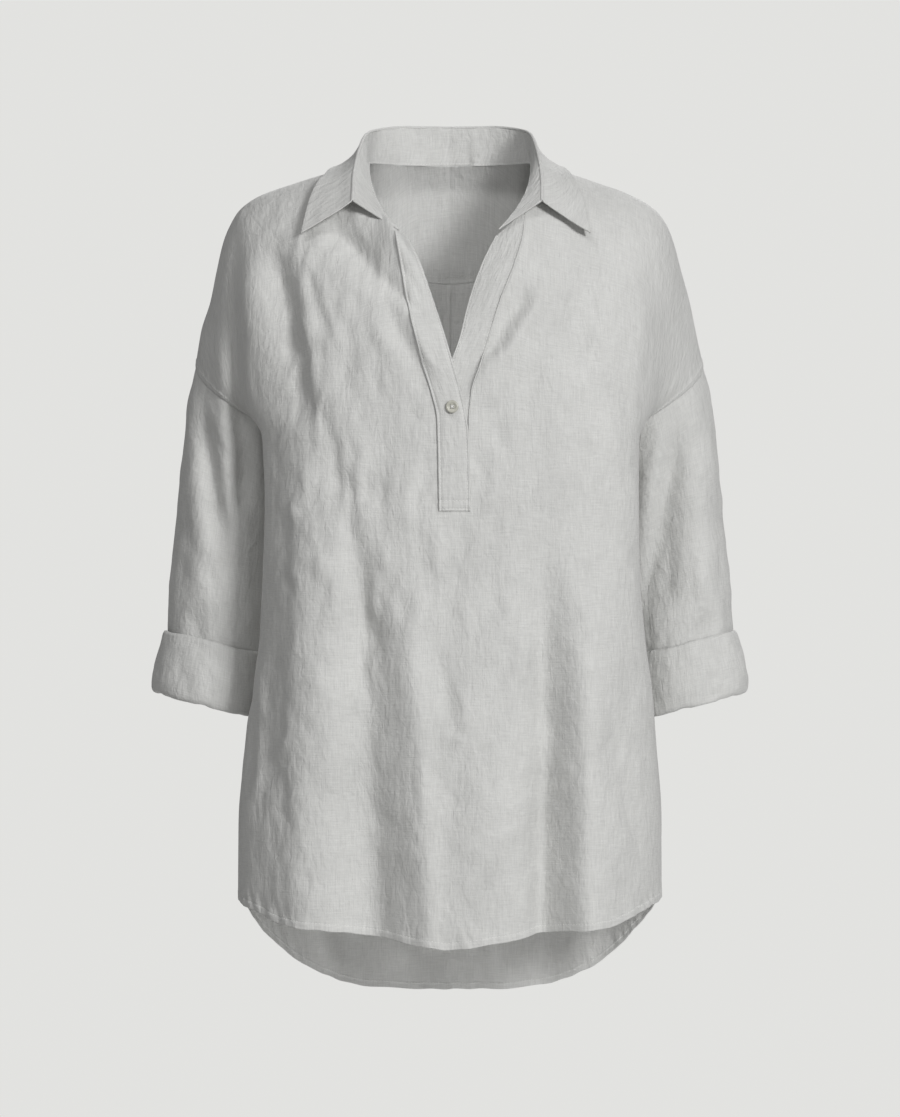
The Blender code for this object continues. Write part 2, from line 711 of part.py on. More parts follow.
def make_collar(collection):
    """The stand, up from the neckline, and the fall, over the roll line to its edge."""
    turn = np.linspace(-1.0, 1.0, COLLAR_COLUMNS + 1)
    seam, out = neck_point(turn)
    base = seam + out * STAND_LIFT
    roll = collar_line(turn, "roll")
    part = np.linspace(0.0, 1.0, STAND_ROWS + 1)[:, None, None]
    stand = base + (roll - base) * part
    make_piece(collection, "collar_stand", [stand])

    edge = collar_line(turn, "edge")
    aside = edge - roll
    aside[:, 2] = 0.0
    aside = aside / np.linalg.norm(aside, axis=-1, keepdims=True)
    start = roll + aside * LIFT + np.array((0.0, 0.0, ROLL_LIFT))
    bulge = read(COLLAR, np.abs(turn), "bulge")[:, None]
    swell = (aside + np.array((0.0, 0.0, 1.0))) * bulge
    crown = (start + edge) / 2 + swell
    part = np.linspace(0.0, 1.0, FALL_ROWS + 1)[:, None, None]
    rest = 1.0 - part
    fall = start * rest * rest + crown * 2.0 * part * rest + edge * part * part
    make_piece(collection, "collar_fall", [fall])


def make_band(collection, name, table, tops, lift):
    """A band of the placket, from its sewn edge to its free edge, moved out by lift."""
    across = np.linspace(0.0, 1.0, BAND_COLUMNS + 1)[None, :]
    down = np.linspace(1.0, 0.0, BAND_ROWS + 1)[:, None]
    top = tops[0] + (tops[1] - tops[0]) * across
    height = table[0].height + (top - table[0].height) * down
    sewn = read(table, height, "sewn")
    free = read(table, height, "free")
    share, rise = find_front(sewn + (free - sewn) * across, height)
    points = cloth("front", share, rise, lift)
    points[..., 1] += read(table, height, "turned_in") * across ** TURN_IN_POWER
    make_piece(collection, name, [points])


def make_button(collection):
    """The button: a turned disc with a raised rim, bored by four holes."""
    mesh = bmesh.new()
    half = BUTTON_THICK / 2
    rim = BUTTON_RADIUS
    profile = (
        (0.0, 0.35 * half),
        (0.52 * rim, 0.35 * half),
        (0.66 * rim, half),
        (0.9 * rim, half),
        (rim, 0.35 * half),
        (rim, -0.45 * half),
        (0.85 * rim, -half),
        (0.0, -half),
    )
    corners = [mesh.verts.new((out * MM, 0.0, up * MM)) for out, up in profile]
    edges = [mesh.edges.new(pair) for pair in zip(corners, corners[1:])]
    bmesh.ops.spin(
        mesh, geom=corners + edges, axis=(0, 0, 1), cent=(0, 0, 0),
        angle=2 * math.pi, steps=BUTTON_STEPS, use_merge=True,
    )
    bmesh.ops.remove_doubles(mesh, verts=mesh.verts, dist=0.00001)
    bmesh.ops.recalc_face_normals(mesh, faces=mesh.faces)
    data = bpy.data.meshes.new("button")
    mesh.to_mesh(data)
    mesh.free()
    data.materials.append(fabric("button_resin", BUTTON_COLOUR, 0.35))
    button = bpy.data.objects.new("button", data)
    collection.objects.link(button)

    cutters = bpy.data.collections.new("cutters")
    bpy.context.scene.collection.children.link(cutters)
    for quarter in range(4):
        angle = math.pi / 4 + quarter * math.pi / 2
        spot = bmesh.new()
        bmesh.ops.create_cone(
            spot, cap_ends=True, segments=10,
            radius1=BUTTON_HOLE * MM, radius2=BUTTON_HOLE * MM, depth=3 * BUTTON_THICK * MM,
        )
        reach = HOLE_SPACING * math.sqrt(2) * MM
        move = (reach * math.cos(angle), reach * math.sin(angle), 0.0)
        bmesh.ops.translate(spot, verts=spot.verts, vec=move)
        cutter_data = bpy.data.meshes.new("hole")
        spot.to_mesh(cutter_data)
        spot.free()
        cutter = bpy.data.objects.new("hole_cutter", cutter_data)
        cutter.hide_render = True
        cutter.display_type = "WIRE"
        cutter.parent = button
        cutters.objects.link(cutter)
        cut = button.modifiers.new("hole", "BOOLEAN")
        cut.operation = "DIFFERENCE"
        cut.object = cutter

    share, rise = find_front(BUTTON_PLACE[0], BUTTON_PLACE[1])
    off = OVERLAP_LIFT + WALL / 2 + GAP + half
    place = cloth("front", share, rise, off)
    facing = outward("front", share, rise)
    button.rotation_mode = "QUATERNION"
    pitch = math.atan2(-facing[1], facing[2])
    yaw = math.atan2(facing[0], -facing[1])
    button.rotation_quaternion = Quaternion((0, 0, 1), yaw) @ Quaternion((1, 0, 0), pitch)
    button.location = place * MM


def main():
    for thing in list(bpy.data.objects):
        bpy.data.objects.remove(thing)
    blouse = bpy.data.collections.new("popover_blouse")
    bpy.context.scene.collection.children.link(blouse)
    make_front(blouse)
    make_back(blouse)
    make_yoke(blouse)
    make_collar(blouse)
    make_band(blouse, "placket_overlap", OVERLAP, OVERLAP_TOPS, OVERLAP_LIFT)
    make_band(blouse, "placket_underlap", UNDERLAP, UNDERLAP_TOPS, UNDERLAP_LIFT)
    for name, side in (("right", -1.0), ("left", 1.0)):
        make_sleeve(blouse, "sleeve_" + name, side)
        make_cuff(blouse, "cuff_" + name, side)
    make_button(blouse)


main()
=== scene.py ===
"""Looks of the linen popover blouse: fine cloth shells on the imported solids, sewing,
button, stage, light and camera.  Tables and functions are in millimetres, and become
metres when a piece is made.  The front faces -Y and the wearer's right side is at -X.
"""

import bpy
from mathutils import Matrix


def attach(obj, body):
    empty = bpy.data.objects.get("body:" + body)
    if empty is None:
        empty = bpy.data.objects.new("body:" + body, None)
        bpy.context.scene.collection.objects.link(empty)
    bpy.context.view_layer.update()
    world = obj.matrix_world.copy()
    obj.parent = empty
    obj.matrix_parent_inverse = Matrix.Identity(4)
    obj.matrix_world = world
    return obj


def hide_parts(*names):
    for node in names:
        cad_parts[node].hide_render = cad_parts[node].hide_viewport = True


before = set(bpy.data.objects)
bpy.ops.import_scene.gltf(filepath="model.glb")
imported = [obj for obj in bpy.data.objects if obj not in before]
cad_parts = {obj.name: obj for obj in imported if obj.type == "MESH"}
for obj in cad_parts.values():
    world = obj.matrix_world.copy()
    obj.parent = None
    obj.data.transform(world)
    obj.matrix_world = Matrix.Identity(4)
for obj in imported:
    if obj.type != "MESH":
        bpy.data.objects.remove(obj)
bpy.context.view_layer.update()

import math
from collections import namedtuple

import bmesh
import bpy
import numpy as np
from mathutils import Matrix, Quaternion, Vector, noise


def rows_of(kind, *rows):
    """Rows of one kind, from their values."""
    return tuple(kind(*row) for row in rows)


# ---- The garment's form, as in its solids ----

MM = 0.001
LIFT = 1.5                   # from one doubled layer's middle to the next one's

CHEST_HEIGHT = -252.0        # level of the underarm, where trunk and shoulders meet
FRONT_ROUND = 2.3            # superellipse powers of the trunk's front and back halves
BACK_ROUND = 1.88
ARC_FROM = 0.66              # share of the way to the armhole where its curve sets in
UNDERARM_TURN = 153.0        # degrees round the armhole from its top, by the front
UNDERARM_RISE = 0.20         # rise within which the armhole leaves the underarm's level
NECK_SHARE = 0.23            # the shoulder's neck point, on the shoulder line
NECK_WIDTH = 75.0
NECK_BACK = 15.0             # heights of the neck seam at centre back and at a neck point
NECK_SIDE = 12.0
SLOT_BOTTOM = -311.0         # lower end of the slot that the placket fills
SIDE_REACH = 300.0           # length of cloth that a share of 1 stands for
YOKE_CENTRE = 0.36           # how far up the back the yoke seam lies
YOKE_SIDE = 0.70

STEP = 0.002                 # share used to find a surface's direction
FRONT_REACH_ACROSS = 260.0   # first guess at the front's reach for a share of 1
FRONT_REACH_UP = 420.0
FIND_STEPS = 25              # of closing in on a place of the front
FIND_PACE = 0.8
FIND_SIDE, FIND_TOP = 0.95, 0.99   # how far out and up a place is looked for
HALVINGS = 40
PAST_NECK = 0.6              # share out past every neckline, and rise below them all
BELOW_NECK = 0.3

# Half widths to the wearer's right and left, depth of centre front, centre back and the
# widest point, and the side seam's angle behind that point, at each height.
Trunk = namedtuple("Trunk", "height right left front back widest seam")
TRUNK = rows_of(
    Trunk,
    (-775, 197, 196, -133, 120, -10, 3),
    (-680, 196, 195, -133, 119, -13, 4),
    (-600, 195, 195, -131, 118, -20, 7),
    (-530, 190, 190, -129, 117, -28, 11),
    (-480, 183, 186, -127, 116, -34, 15),
    (-430, 175, 179, -125, 115, -40, 18),
    (-370, 172, 174, -122, 114, -43, 21),
    (-300, 170, 173, -120, 113, -45, 24),
    (-252, 172, 173, -118, 112, -45, 26),
)

# Height of the shirt-tail hem, from the centre line to the side seam.
Hem = namedtuple("Hem", "share front back")
HEM = rows_of(
    Hem,
    (0.00, -707, -771),
    (0.15, -699, -770),
    (0.30, -693, -766),
    (0.50, -687, -747),
    (0.65, -678, -722),
    (0.80, -672, -695),
    (0.92, -669, -677),
    (1.00, -668, -668),
)

# The shoulder line, from above the neck hole to the top of the armhole.
Shoulder = namedtuple("Shoulder", "share right left depth height")
SHOULDER = rows_of(
    Shoulder,
    (0.000, 0, 0, 30, 42),
    (0.116, 40, 40, 22, 36),
    (0.230, 75, 75, 8, 12),
    (0.314, 106, 103, 9, 4),
    (0.407, 141, 135, 14, -6),
    (0.502, 177, 170, 21, -18),
    (0.573, 197, 192, 27, -31),
    (0.625, 206, 203, 31, -45),
    (0.667, 212, 209, 34, -59),
    (0.747, 219, 217, 39, -87),
    (0.827, 225, 225, 42, -115),
    (0.907, 234, 231, 45, -143),
    (1.000, 239, 238, 47, -176),
)

# Rings of the sleeve: distance of its outer and inner side from the centre line, their
# heights, the ring's middle depth and half depth, and how it sags between its two sides
# (1 is a flat ring).
Ring = namedtuple(
    "Ring", "share outer inner outer_height inner_height depth half_depth sag"
)
SLEEVE = rows_of(
    Ring,
    (0.00, 239, 150, -176, -243, 47, 52, 0.62),
    (0.10, 246, 153, -206, -268, 48, 52, 0.72),
    (0.25, 251, 156, -255, -300, 49, 51, 0.87),
    (0.45, 257, 160, -318, -345, 49, 50, 1.00),
    (0.62, 263, 166, -372, -394, 49, 49, 1.00),
    (0.80, 266, 171, -424, -446, 49, 49, 1.00),
    (1.00, 268, 176, -468, -493, 49, 48, 1.00),
    (1.07, 269, 177, -482, -508, 49, 48, 1.00),
)

CUFF_BOTTOM = 1.07           # the cuff's rims, as shares of the sleeve's length
CUFF_TOP = 0.80
CUFF_INNER_SIDE = 0.45       # its standing out there, as a share of the outer side's
CUFF_FOLD = 2.4              # the least it stands out at its fold, all round
UNDERARM_EASE = 2.2          # clearance of sleeve and trunk where they part
UNDERARM_SPREAD = 36.0       # degrees of the armhole that the clearance fades over
FITTED_END = 0.15            # share of the sleeve's length that follows the armhole

# Distance of the front's cut edge from the centre line: the neckline, then the seams of
# the placket's two bands.
Edge = namedtuple("Edge", "height right left")
FRONT_EDGE = rows_of(
    Edge,
    (-311, 9.0, 16.2),
    (-240, 10.5, 16.2),
    (-207, 16.2, 18.5),
    (-174, 26.0, 29.0),
    (-128, 37.9, 43.5),
    (-88, 45.3, 58.5),
    (-60, 50.0, 66.0),
    (-45, 59.0, 68.0),
    (-31, 66.0, 68.5),
    (-17, 71.5, 71.5),
    (0, 74.6, 74.6),
    (12, 75.0, 75.0),
)

# The placket's bands: places of the sewn edge and the free edge across the front, plus to
# the wearer's left, and how far the free edge turns in, at each height.
Band = namedtuple("Band", "height sewn free turned_in")
OVERLAP = rows_of(
    Band,
    (-314, -9.8, 16.6, 0),
    (-232, -11.6, 14.4, 0),
    (-207, -17.0, 9.6, 0),
    (-182, -24.6, 2.7, 0),
    (-172, -27.0, 0.0, 1),
    (-128, -38.2, -13.7, 9),
    (-88, -45.0, -28.5, 14),
    (-60, -49.6, -43.0, 16),
)
UNDERLAP = rows_of(
    Band,
    (-310, 15.3, -8.0, 0),
    (-240, 15.3, -8.0, 0),
    (-207, 17.4, -8.0, 0),
    (-182, 25.5, 0.0, 0),
    (-160, 32.0, 8.0, 1),
    (-124, 43.4, 17.0, 4),
    (-88, 57.2, 29.5, 6),
    (-60, 64.8, 43.5, 6),
    (-30, 67.2, 60.0, 5),
)
OVERLAP_TOPS = (-63.0, -67.0)      # heights of a band's upper end at its sewn and free edge
UNDERLAP_TOPS = (-31.0, -63.0)
TURN_IN_POWER = 1.5                # how late across a band the turning in sets in

# The collar on one side: the roll line, the outer edge and the swell between them, from
# centre back (share 0) to the front end (share 1).
Collar = namedtuple("Collar", "share roll_x roll_y roll_z edge_x edge_y edge_z bulge")
COLLAR = rows_of(
    Collar,
    (0.00, 0, 77, 51, 0, 90, 2, 3),
    (0.22, 38, 71, 51, 48, 82, 0, 2),
    (0.42, 66, 47, 46, 86, 60, -6, -1),
    (0.58, 76, 12, 38, 105, 16, 8, -5),
    (0.74, 83, -24, 15, 117, -26, -6, -3),
    (0.88, 86, -50, -11, 126, -49, -28, 1),
    (1.00, 86, -70, -32, 132, -68, -60, 2),
)
COLLAR_LEAN = 0.03           # share by which the collar's left side is narrower
ROLL_LIFT = 0.6              # of the fall, up from the stand's top
NECK_FRONT_SHARE = 0.56      # share round the collar where the shoulder line lies
NECK_END = -58.0             # height of the neckline's front end
NECK_END_X = (48.0, 45.0)    # its distance from the centre, right and left

# The neckline on the front, as a share of the way from its front end out to a neck point.
Neckline = namedtuple("Neckline", "height out")
NECKLINE = rows_of(
    Neckline,
    (-58, 0.00),
    (-45, 0.36),
    (-31, 0.67),
    (-17, 0.87),
    (0, 0.985),
    (12, 1.00),
)

# Largest folds of the cloth, as troughs (minus) and ridges, in the front view.
Fold = namedtuple("Fold", "x_top z_top x_low z_low width depth")
FRONT_FOLDS = rows_of(
    Fold,
    (-168, -50, -128, -245, 14, -12), (-124, -250, -138, -800, 20, 9),
    (-106, -235, -74, -450, 12, -7), (-82, -320, -68, -800, 20, -14),
    (-74, -520, -64, -810, 30, -10), (26, -400, 30, -760, 36, 5), (84, -290, 90, -800, 15, -13),
    (88, -520, 86, -810, 26, -10), (130, -320, 134, -800, 20, 8), (-188, -70, -176, -245, 12, 5),
    (186, -90, 174, -245, 14, 4), (128, -70, 112, -190, 14, -6),
)
BACK_FOLDS = rows_of(
    Fold,
    (-140, -120, -118, -790, 17, -7), (-92, -210, -84, -790, 26, 8),
    (-48, -330, -40, -790, 15, -8), (36, -290, 44, -790, 16, -8), (88, -230, 84, -790, 27, 8),
    (134, -130, 122, -790, 16, -7),
)
SLEEVE_FOLDS = rows_of(
    Fold,
    (-226, -190, -216, -330, 12, -5), (-234, -230, -228, -420, 14, 4),
    (222, -200, 194, -410, 14, -6), (238, -240, 236, -430, 14, 4),
)
LARGE_FOLDS = {"front": FRONT_FOLDS, "back": BACK_FOLDS}
FOLD_SETS_IN = 0.3           # shares of a fold's length that it grows and dies away over
FOLD_DIES = 0.15
STILL_SIDE = 0.14            # share by a side seam where the cloth doesn't fold
STILL_TOP, STILL_FADE = 0.9, 0.35  # rise where it no longer does, and over how much

PLEAT_HALF = 18.0            # box pleat at centre back
PLEAT_RISE = 2.4
PLEAT_END = -420.0           # height where it has died away, and over what length
PLEAT_FADE = 200.0
PLEAT_SIDE = 4.0             # breadth of each of its sloping sides

BUTTON_PLACE = (1.8, -220.5) # across and up
BUTTON_RADIUS = 5.8
BUTTON_THICK = 2.4
BUTTON_HOLE = 0.75
HOLE_SPACING = 1.25


# ---- The fine cloth on that form ----

PITCH = 3.6                  # spacing of the cloth's points, and of a collar's and a band's
COLLAR_PITCH = 2.8
FALL_PITCH = 2.6
BAND_PITCH = (2.2, 3.0)      # across and along it
FREE_EDGE = (0.0, 0.8, 2.2)  # closer points at a free edge, and at sewn ones
SEAM_EDGE = (0.0, 0.8, 2.4, 4.4, 6.2, 7.0, 7.8, 9.4)
HEM_EDGE = (0.0, 0.8, 2.2, 3.6, 5.0, 5.8, 6.4, 7.0, 7.8, 9.2)
BAND_EDGE = (0.0, 0.5, 1.1, 1.8, 2.6)
BOX_ROWS = (0.0, 0.5, 1.1, 1.8, 2.8, 5.0, 7.2, 8.4, 9.4, 10.4)
SHEER_WALL = 0.8             # of the single layers, and of the doubled ones
FIRM_WALL = 1.2

TRUNK_RUN = 455.0            # from the hem to the underarm's level, at the centre
BACK_RUN = 519.0
YOKE_RUN = 150.0             # from the yoke seam, up or down
BACK_OUTER_RUN = 230.0       # from a neck point to the side seam or armhole
SLEEVE_GIRTH = 330.0
SLEEVE_RUN = 330.0
CUFF_GIRTH = 350.0
CUFF_HEIGHT = 84.0
CUFF_ROWS = 48
COLLAR_RUN = 230.0           # of half the collar, and the heights of its two pieces
STAND_RUN = 50.0
FALL_RUN = 62.0
BAND_WIDTH = 26.0
BAND_RUN = 250.0
SLOT_WIDTH = 25.0
# Shares of the back's columns out to the neck point, closer at the pleat's folds: the
# groove at its centre, then stretches from, to and with how many columns.
PLEAT_GROOVE_COLUMNS = (0.0, 0.003, 0.007)
PLEAT_COLUMNS = ((0.016, 0.06, 5), (0.066, 0.108, 8), (0.12, 0.22, 9))

# The turned-up cuff's outer layer, fold and inner layer, step by step: height between its
# lower and upper rim, and how far it stands out from the sleeve on the outer side.
Turn = namedtuple("Turn", "step height out")
CUFF_TURN = rows_of(
    Turn,
    (0, 1.00, 2.4),
    (0.25, 0.94, 4.4),
    (1, 0.75, 7.0),
    (2, 0.48, 10.5),
    (3, 0.24, 12.5),
    (4, 0.08, 11.5),
    (5, 0.00, 7.5),
    (6, 0.00, 2.5),
    (7, 0.05, -1.8),
    (8, 0.40, -1.8),
)
CUFF_LINED_FROM = 5.5        # step where the outer layer has ended, and over how many

# Sewing: how far its line is from the edge, how much thicker the layers there are, the
# depth and width of the line's groove, and the size of the gathers along it, with their
# reach on the edge's side and on the other.
Sewing = namedtuple("Sewing", "stitch layers groove width gathers near far")
HEM_SEWING = Sewing(6.4, 0.8, 0.8, 0.8, 0.8, 6.0, 11.0)
SEAM_SEWING = Sewing(7.0, 0.5, 0.35, 0.7, 0.3, 5.0, 8.0)
LAYERS_END = 8.0             # where the layers of a hem or seam end, and over what width
LAYERS_FADE = 1.2
HEM_SLANT = 0.5              # lean of the hem's gathers
EDGE_STITCH = 1.8            # sewing of a doubled edge
EDGE_LAYERS, EDGE_GROOVE = 0.35, 0.3
EDGE_TURNED, EDGE_TURN_WIDTH = 0.45, 0.6   # its rounding, down from the surface
STITCH_PITCH = 3.0
STITCH_SIZE = (1.05, 0.24, 0.2)    # half its length, breadth and height

STAND_LIFT = 1.0             # the stand's foot closes on the neckline
STAND_LAP = 1.6              # and laps it
STAND_TOP = 1.0              # its top goes up under the fall
ROLL_ROWS = 9                # from the stand's inner face over the roll line
ROLL_RADIUS = 0.2            # where it starts there, and the turn it widens over
ROLL_WIDENS = 1.6
FALL_FLATTER = 3.0           # less swell of the fall towards its points
UNDER_FROM = -235.0          # below this the underlap lies under the front's edge
UNDER_TO = -35.0             # and above this it does again
FREE_LAP = 1.6               # the overlap's free edge laps the front there
BOX_STITCHES = (1.8, 9.4)    # heights of the box's two lines of sewing

# The placket's bands: how far their middles lie out from the front's, free of the sewn
# edge and on it, and how far the sewn edge goes in under the front's.
BandLook = namedtuple("BandLook", "name table tops lift sewn_lift tuck boxed")
BAND_LOOKS = rows_of(
    BandLook,
    ("placket_overlap", OVERLAP, OVERLAP_TOPS, 1.25, 1.0, 0.0, True),
    ("placket_underlap", UNDERLAP, UNDERLAP_TOPS, -0.9, -1.1, 2.5, False),
)

# Uneven swelling: its height, and its size across and up.
Rumple = namedtuple("Rumple", "height wide tall")
TRUNK_RUMPLE = Rumple(1.1, 22.0, 48.0)
SLEEVE_RUMPLE = Rumple(1.1, 22.0, 40.0)
CUFF_RUMPLE = Rumple(1.0, 26.0, 26.0)
STAND_RUMPLE = Rumple(0.6, 20.0, 30.0)
FALL_RUMPLE = Rumple(0.9, 24.0, 30.0)

# Regions of small creases on the cut cloth: their bounds across and up, how many, their
# mean length, width and depth, and how far they lean from upright, with its spread.
Crumple = namedtuple("Crumple", "left right low high count length width depth lean spread")
FRONT_CRUMPLES = rows_of(
    Crumple,
    (-170, -50, -330, -40, 90, 42, 5.0, 1.4, -9, 12),
    (40, 190, -330, -40, 60, 38, 5.5, 1.0, 8, 18),
    (-190, -15, -560, -320, 80, 42, 5.5, 1.4, -4, 12),
    (-15, 200, -560, -320, 72, 40, 5.5, 1.1, 3, 16),
    (-220, 220, -690, -540, 80, 44, 6.0, 1.2, 0, 14),
    (-220, 220, -690, -420, 110, 24, 4.0, 0.8, 84, 24),
    (-200, 200, -420, -60, 60, 20, 4.0, 0.6, 84, 26),
)
BACK_CRUMPLES = rows_of(
    Crumple,
    (-230, 230, -330, -120, 90, 44, 5.5, 0.9, 0, 16),
    (-230, 230, -560, -320, 90, 44, 6.0, 0.9, 0, 14),
    (-230, 230, -750, -540, 80, 46, 6.5, 0.9, 0, 14),
    (-230, 230, -750, -420, 90, 24, 4.0, 0.6, 84, 24),
)
SLEEVE_CRUMPLES = rows_of(
    Crumple,
    (10, 310, -300, -20, 70, 44, 6.0, 1.0, 6, 16),
    (10, 310, -300, -150, 36, 24, 4.5, 0.7, 70, 24),
)
CUFF_CRUMPLES = (
    Crumple(10, 340, 5, 80, 44, 34, 6.0, 1.2, 24, 20),
)
FRONT_SEED, BACK_SEED = 11, 12
SLEEVE_SEEDS = (21, 22)      # right and left
CUFF_SEEDS = (31, 32)
CREASE_ENDS = 0.4            # share of a crease's length that each end dies away over
CREASE_POWER = 1.6           # how sharp its ridge or trough is
CREASE_REACH = 3.0           # widths of it that count

# Creases placed one by one, in the front view.
FRONT_CREASES = rows_of(
    Fold,
    (-72, -26, -2, -124, 11, 8), (-130, -28, -16, -150, 13, -13), (-52, -76, -16, -132, 6, -2.6),
    (-76, -108, -12, -210, 7, -4.2), (-60, -104, -4, -200, 6, 4.4),
    (-52, -176, -14, -210, 5, -2.4), (-92, -128, -16, -216, 8, 3.4),
    (-98, -96, -60, -188, 7, -2.6), (82, -94, 2, -214, 8, -6), (124, -110, 52, -236, 9, -3.6),
    (98, -94, 18, -214, 7, 6.5), (-44, -224, -18, -238, 5, -2.2), (20, -220, 66, -227, 5, -2.0),
    (20, -244, 34, -306, 6, -2.6), (46, -226, 42, -262, 6, -2.2), (40, -272, 30, -320, 6, 2.2),
    (-22, -256, -28, -324, 6, -2.6), (-34, -262, -38, -340, 6, 2.4),
    (10, -318, 16, -368, 7, -2.4), (30, -346, 38, -426, 7, -2.2), (-8, -320, -14, -378, 7, 2.2),
    (-146, -40, -100, -190, 8, -3.0), (-126, -70, -96, -196, 7, 2.8),
    (-98, -96, -88, -230, 8, -2.4), (-112, -214, -104, -300, 7, -2.8),
    (-104, -232, -92, -352, 6, 1.8), (-92, -236, -86, -340, 6, -1.6),
    (-84, -246, -80, -342, 6, 2.6), (-62, -262, -60, -332, 7, -2.2),
    (-122, -340, -96, -420, 9, 2.4), (-96, -404, -70, -486, 8, -2.4),
    (-30, -500, -27, -640, 5, -2.4), (98, -540, 116, -568, 6, -2.6), (36, -606, 72, -600, 7, 2.2),
    (6, -350, 0, -420, 7, -2.4), (-6, -430, -2, -500, 7, -2.2), (44, -380, 52, -420, 6, 2.0),
    (-180, -440, -186, -600, 8, -2.4), (150, -520, 170, -640, 7, -3.0),
    (146, -60, 120, -170, 10, -2.0), (112, -330, 122, -424, 9, -1.8),
    (66, -398, 74, -488, 9, 1.8), (-30, -470, -18, -560, 9, 1.8), (12, -520, 4, -610, 10, -1.8),
    (-150, -520, -140, -620, 9, -1.8), (150, -500, 144, -600, 10, -1.8),
    (-112, -560, -96, -660, 10, 2.0), (84, -580, 96, -670, 10, 1.8),
)
BACK_CREASES = rows_of(
    Fold,
    (-150, -150, -96, -260, 9, -2.4), (-70, -140, -34, -240, 9, 2.0),
    (150, -150, 100, -270, 9, -2.4), (64, -130, 40, -230, 9, -2.0),
    (-120, -300, -128, -420, 9, 2.0), (104, -300, 118, -430, 9, 2.0),
    (0, -420, -8, -560, 10, -2.2), (-60, -460, -72, -600, 10, 2.0),
    (60, -470, 70, -610, 10, -2.0), (-140, -560, -132, -700, 10, -2.0),
    (20, -600, 26, -730, 10, 2.0), (-44, -620, -30, -800, 13, 5), (-96, -630, -84, -800, 12, -4),
    (36, -620, 52, -800, 13, -5), (92, -640, 80, -800, 12, 4),
)
SLEEVE_CREASES = rows_of(
    Fold,
    (196, -210, 186, -330, 9, 2.2), (214, -300, 196, -420, 8, -2.4),
    (238, -330, 226, -430, 8, 2.0), (246, -250, 250, -360, 9, -2.0),
    (240, -376, 252, -446, 7, 3.0), (222, -370, 238, -446, 8, -3.0),
    (-196, -330, -188, -450, 9, 3.0), (-238, -390, -228, -446, 8, -2.6),
    (-200, -230, -192, -340, 9, -2.4), (-222, -330, -206, -424, 8, 2.2),
    (-244, -290, -246, -400, 9, -2.0),
)
PLACED = {"front": FRONT_CREASES, "back": BACK_CREASES}

# Long folds that sharpen the front's largest ones.
LONG_FOLDS = rows_of(
    Fold,
    (-138, -40, -124, -250, 9, 4), (-160, -90, -171, -600, 20, -10),
    (-181, -462, -184, -572, 4, -5), (-173, -440, -177, -580, 6, 3),
    (-90, -200, -112, -600, 12, 4), (-92, -480, -94, -840, 13, -4), (-40, -340, -10, -840, 14, 9),
    (88, -400, 88, -840, 12, -4), (117, -340, 124, -840, 13, 9),
)

# Folds that run on over the armhole's seam, straight out of the front view.
ARM_FOLDS = rows_of(
    Fold,
    (-199, -42, -190, -320, 8, -9), (-214, -105, -207, -330, 9, 6),
    (-233, -205, -212, -350, 8, -6), (190, -60, 172, -240, 7, -3), (214, -215, 180, -420, 10, -8),
)

# Where the relief of the front and back is strong or quiet. A share is 1 at a side seam,
# and a rise is -1 at the hem, 0 at the underarm's level and 1 on the shoulder line.
QUIET_FROM, QUIET_OVER = 0.45, 0.3         # strewn creases are shallower towards the sides
QUIET_BY = 0.8
SMOOTH_SIDE = 0.06                         # and none are at the seams or the neck
SMOOTH_TOP, SMOOTH_FADE = 0.99, 0.08
SMOOTH_NECK, SMOOTH_NECK_FADE = 78.0, 24.0
PLEAT_SETS_IN = 0.1                        # rise below the yoke seam
PLEAT_GROOVE, PLEAT_GROOVE_WIDTH = 1.4, 0.9
GROOVE_SETS_IN = 0.01
HEM_REACH = 0.2                            # rise below the underarm over which it sets in
CORNER_FROM, CORNER_OVER = 0.74, 0.16      # the hem is flatter at its corners
CORNER_FLATTER = 0.7
SEAM_FROM, SEAM_SETS_IN = 4.0, 12.0        # heights above the hem
ARMHOLE_FIRMER, ARMHOLE_SETS_IN = 0.2, 0.1
WAVE_HEIGHT, WAVE_REACH, WAVE_FADE = 0.4, 9.0, 0.12    # of the hem's edge, up and down
ARM_FOLDS_FADE = 0.1
MEASURE_STEPS, MEASURE_SHARE = 41, 0.45    # a line up the cloth that stands for its length

# Where the relief of a sleeve or cuff starts, over how much, where it ends and over how
# much, as shares of the sleeve's length.
SLEEVE_FOLDED = (0.05, 0.2, 0.85, 0.15)
SLEEVE_CREASED = (0.0, 0.06, 0.86, 0.08)
EASE_FADE = 0.3
FOLDED_AHEAD, CREASED_AHEAD = 0.6, 0.4     # how far round to the back these reach
SEAM_QUIET = 0.2                           # turn beside the underarm seam without creases
SLEEVE_GROOVE, SLEEVE_GROOVE_WIDTH = 0.5, 1.2
ARM_FOLDS_AHEAD = 3.0                      # how soon these fold the sleeve's front

# The same for the yoke, cuffs, collar and bands, in millimetres, but shares of the cuff's
# height and of half the collar.
YOKE_SETS_IN = 0.8
CUFF_DIP, CUFF_DIP_WIDTH = 1.6, 0.22       # of the upper rim, at the cuff's outer line
RIM_SWAY = 0.025
STAND_GATHERS, STAND_GATHERED = 0.3, 9.0
STAND_STIFF_END = 20.0
FALL_FLAT_FROM, FALL_FLAT_OVER = 0.4, 0.3
FALL_CRISP_FROM, FALL_CRISP_OVER, FALL_SWELLS_OVER = 6.0, 4.0, 16.0
BAND_LIFTS_OVER = 3.0
BAND_CRISP = 2.0
BAND_GATHERS, BAND_GATHERED = 0.15, 3.0
BOX_GROOVE, BOX_GROOVE_WIDTH = 0.6, 0.9
UPWARD = np.array((0.0, 0.0, 1.0))


# ---- Shapes ----

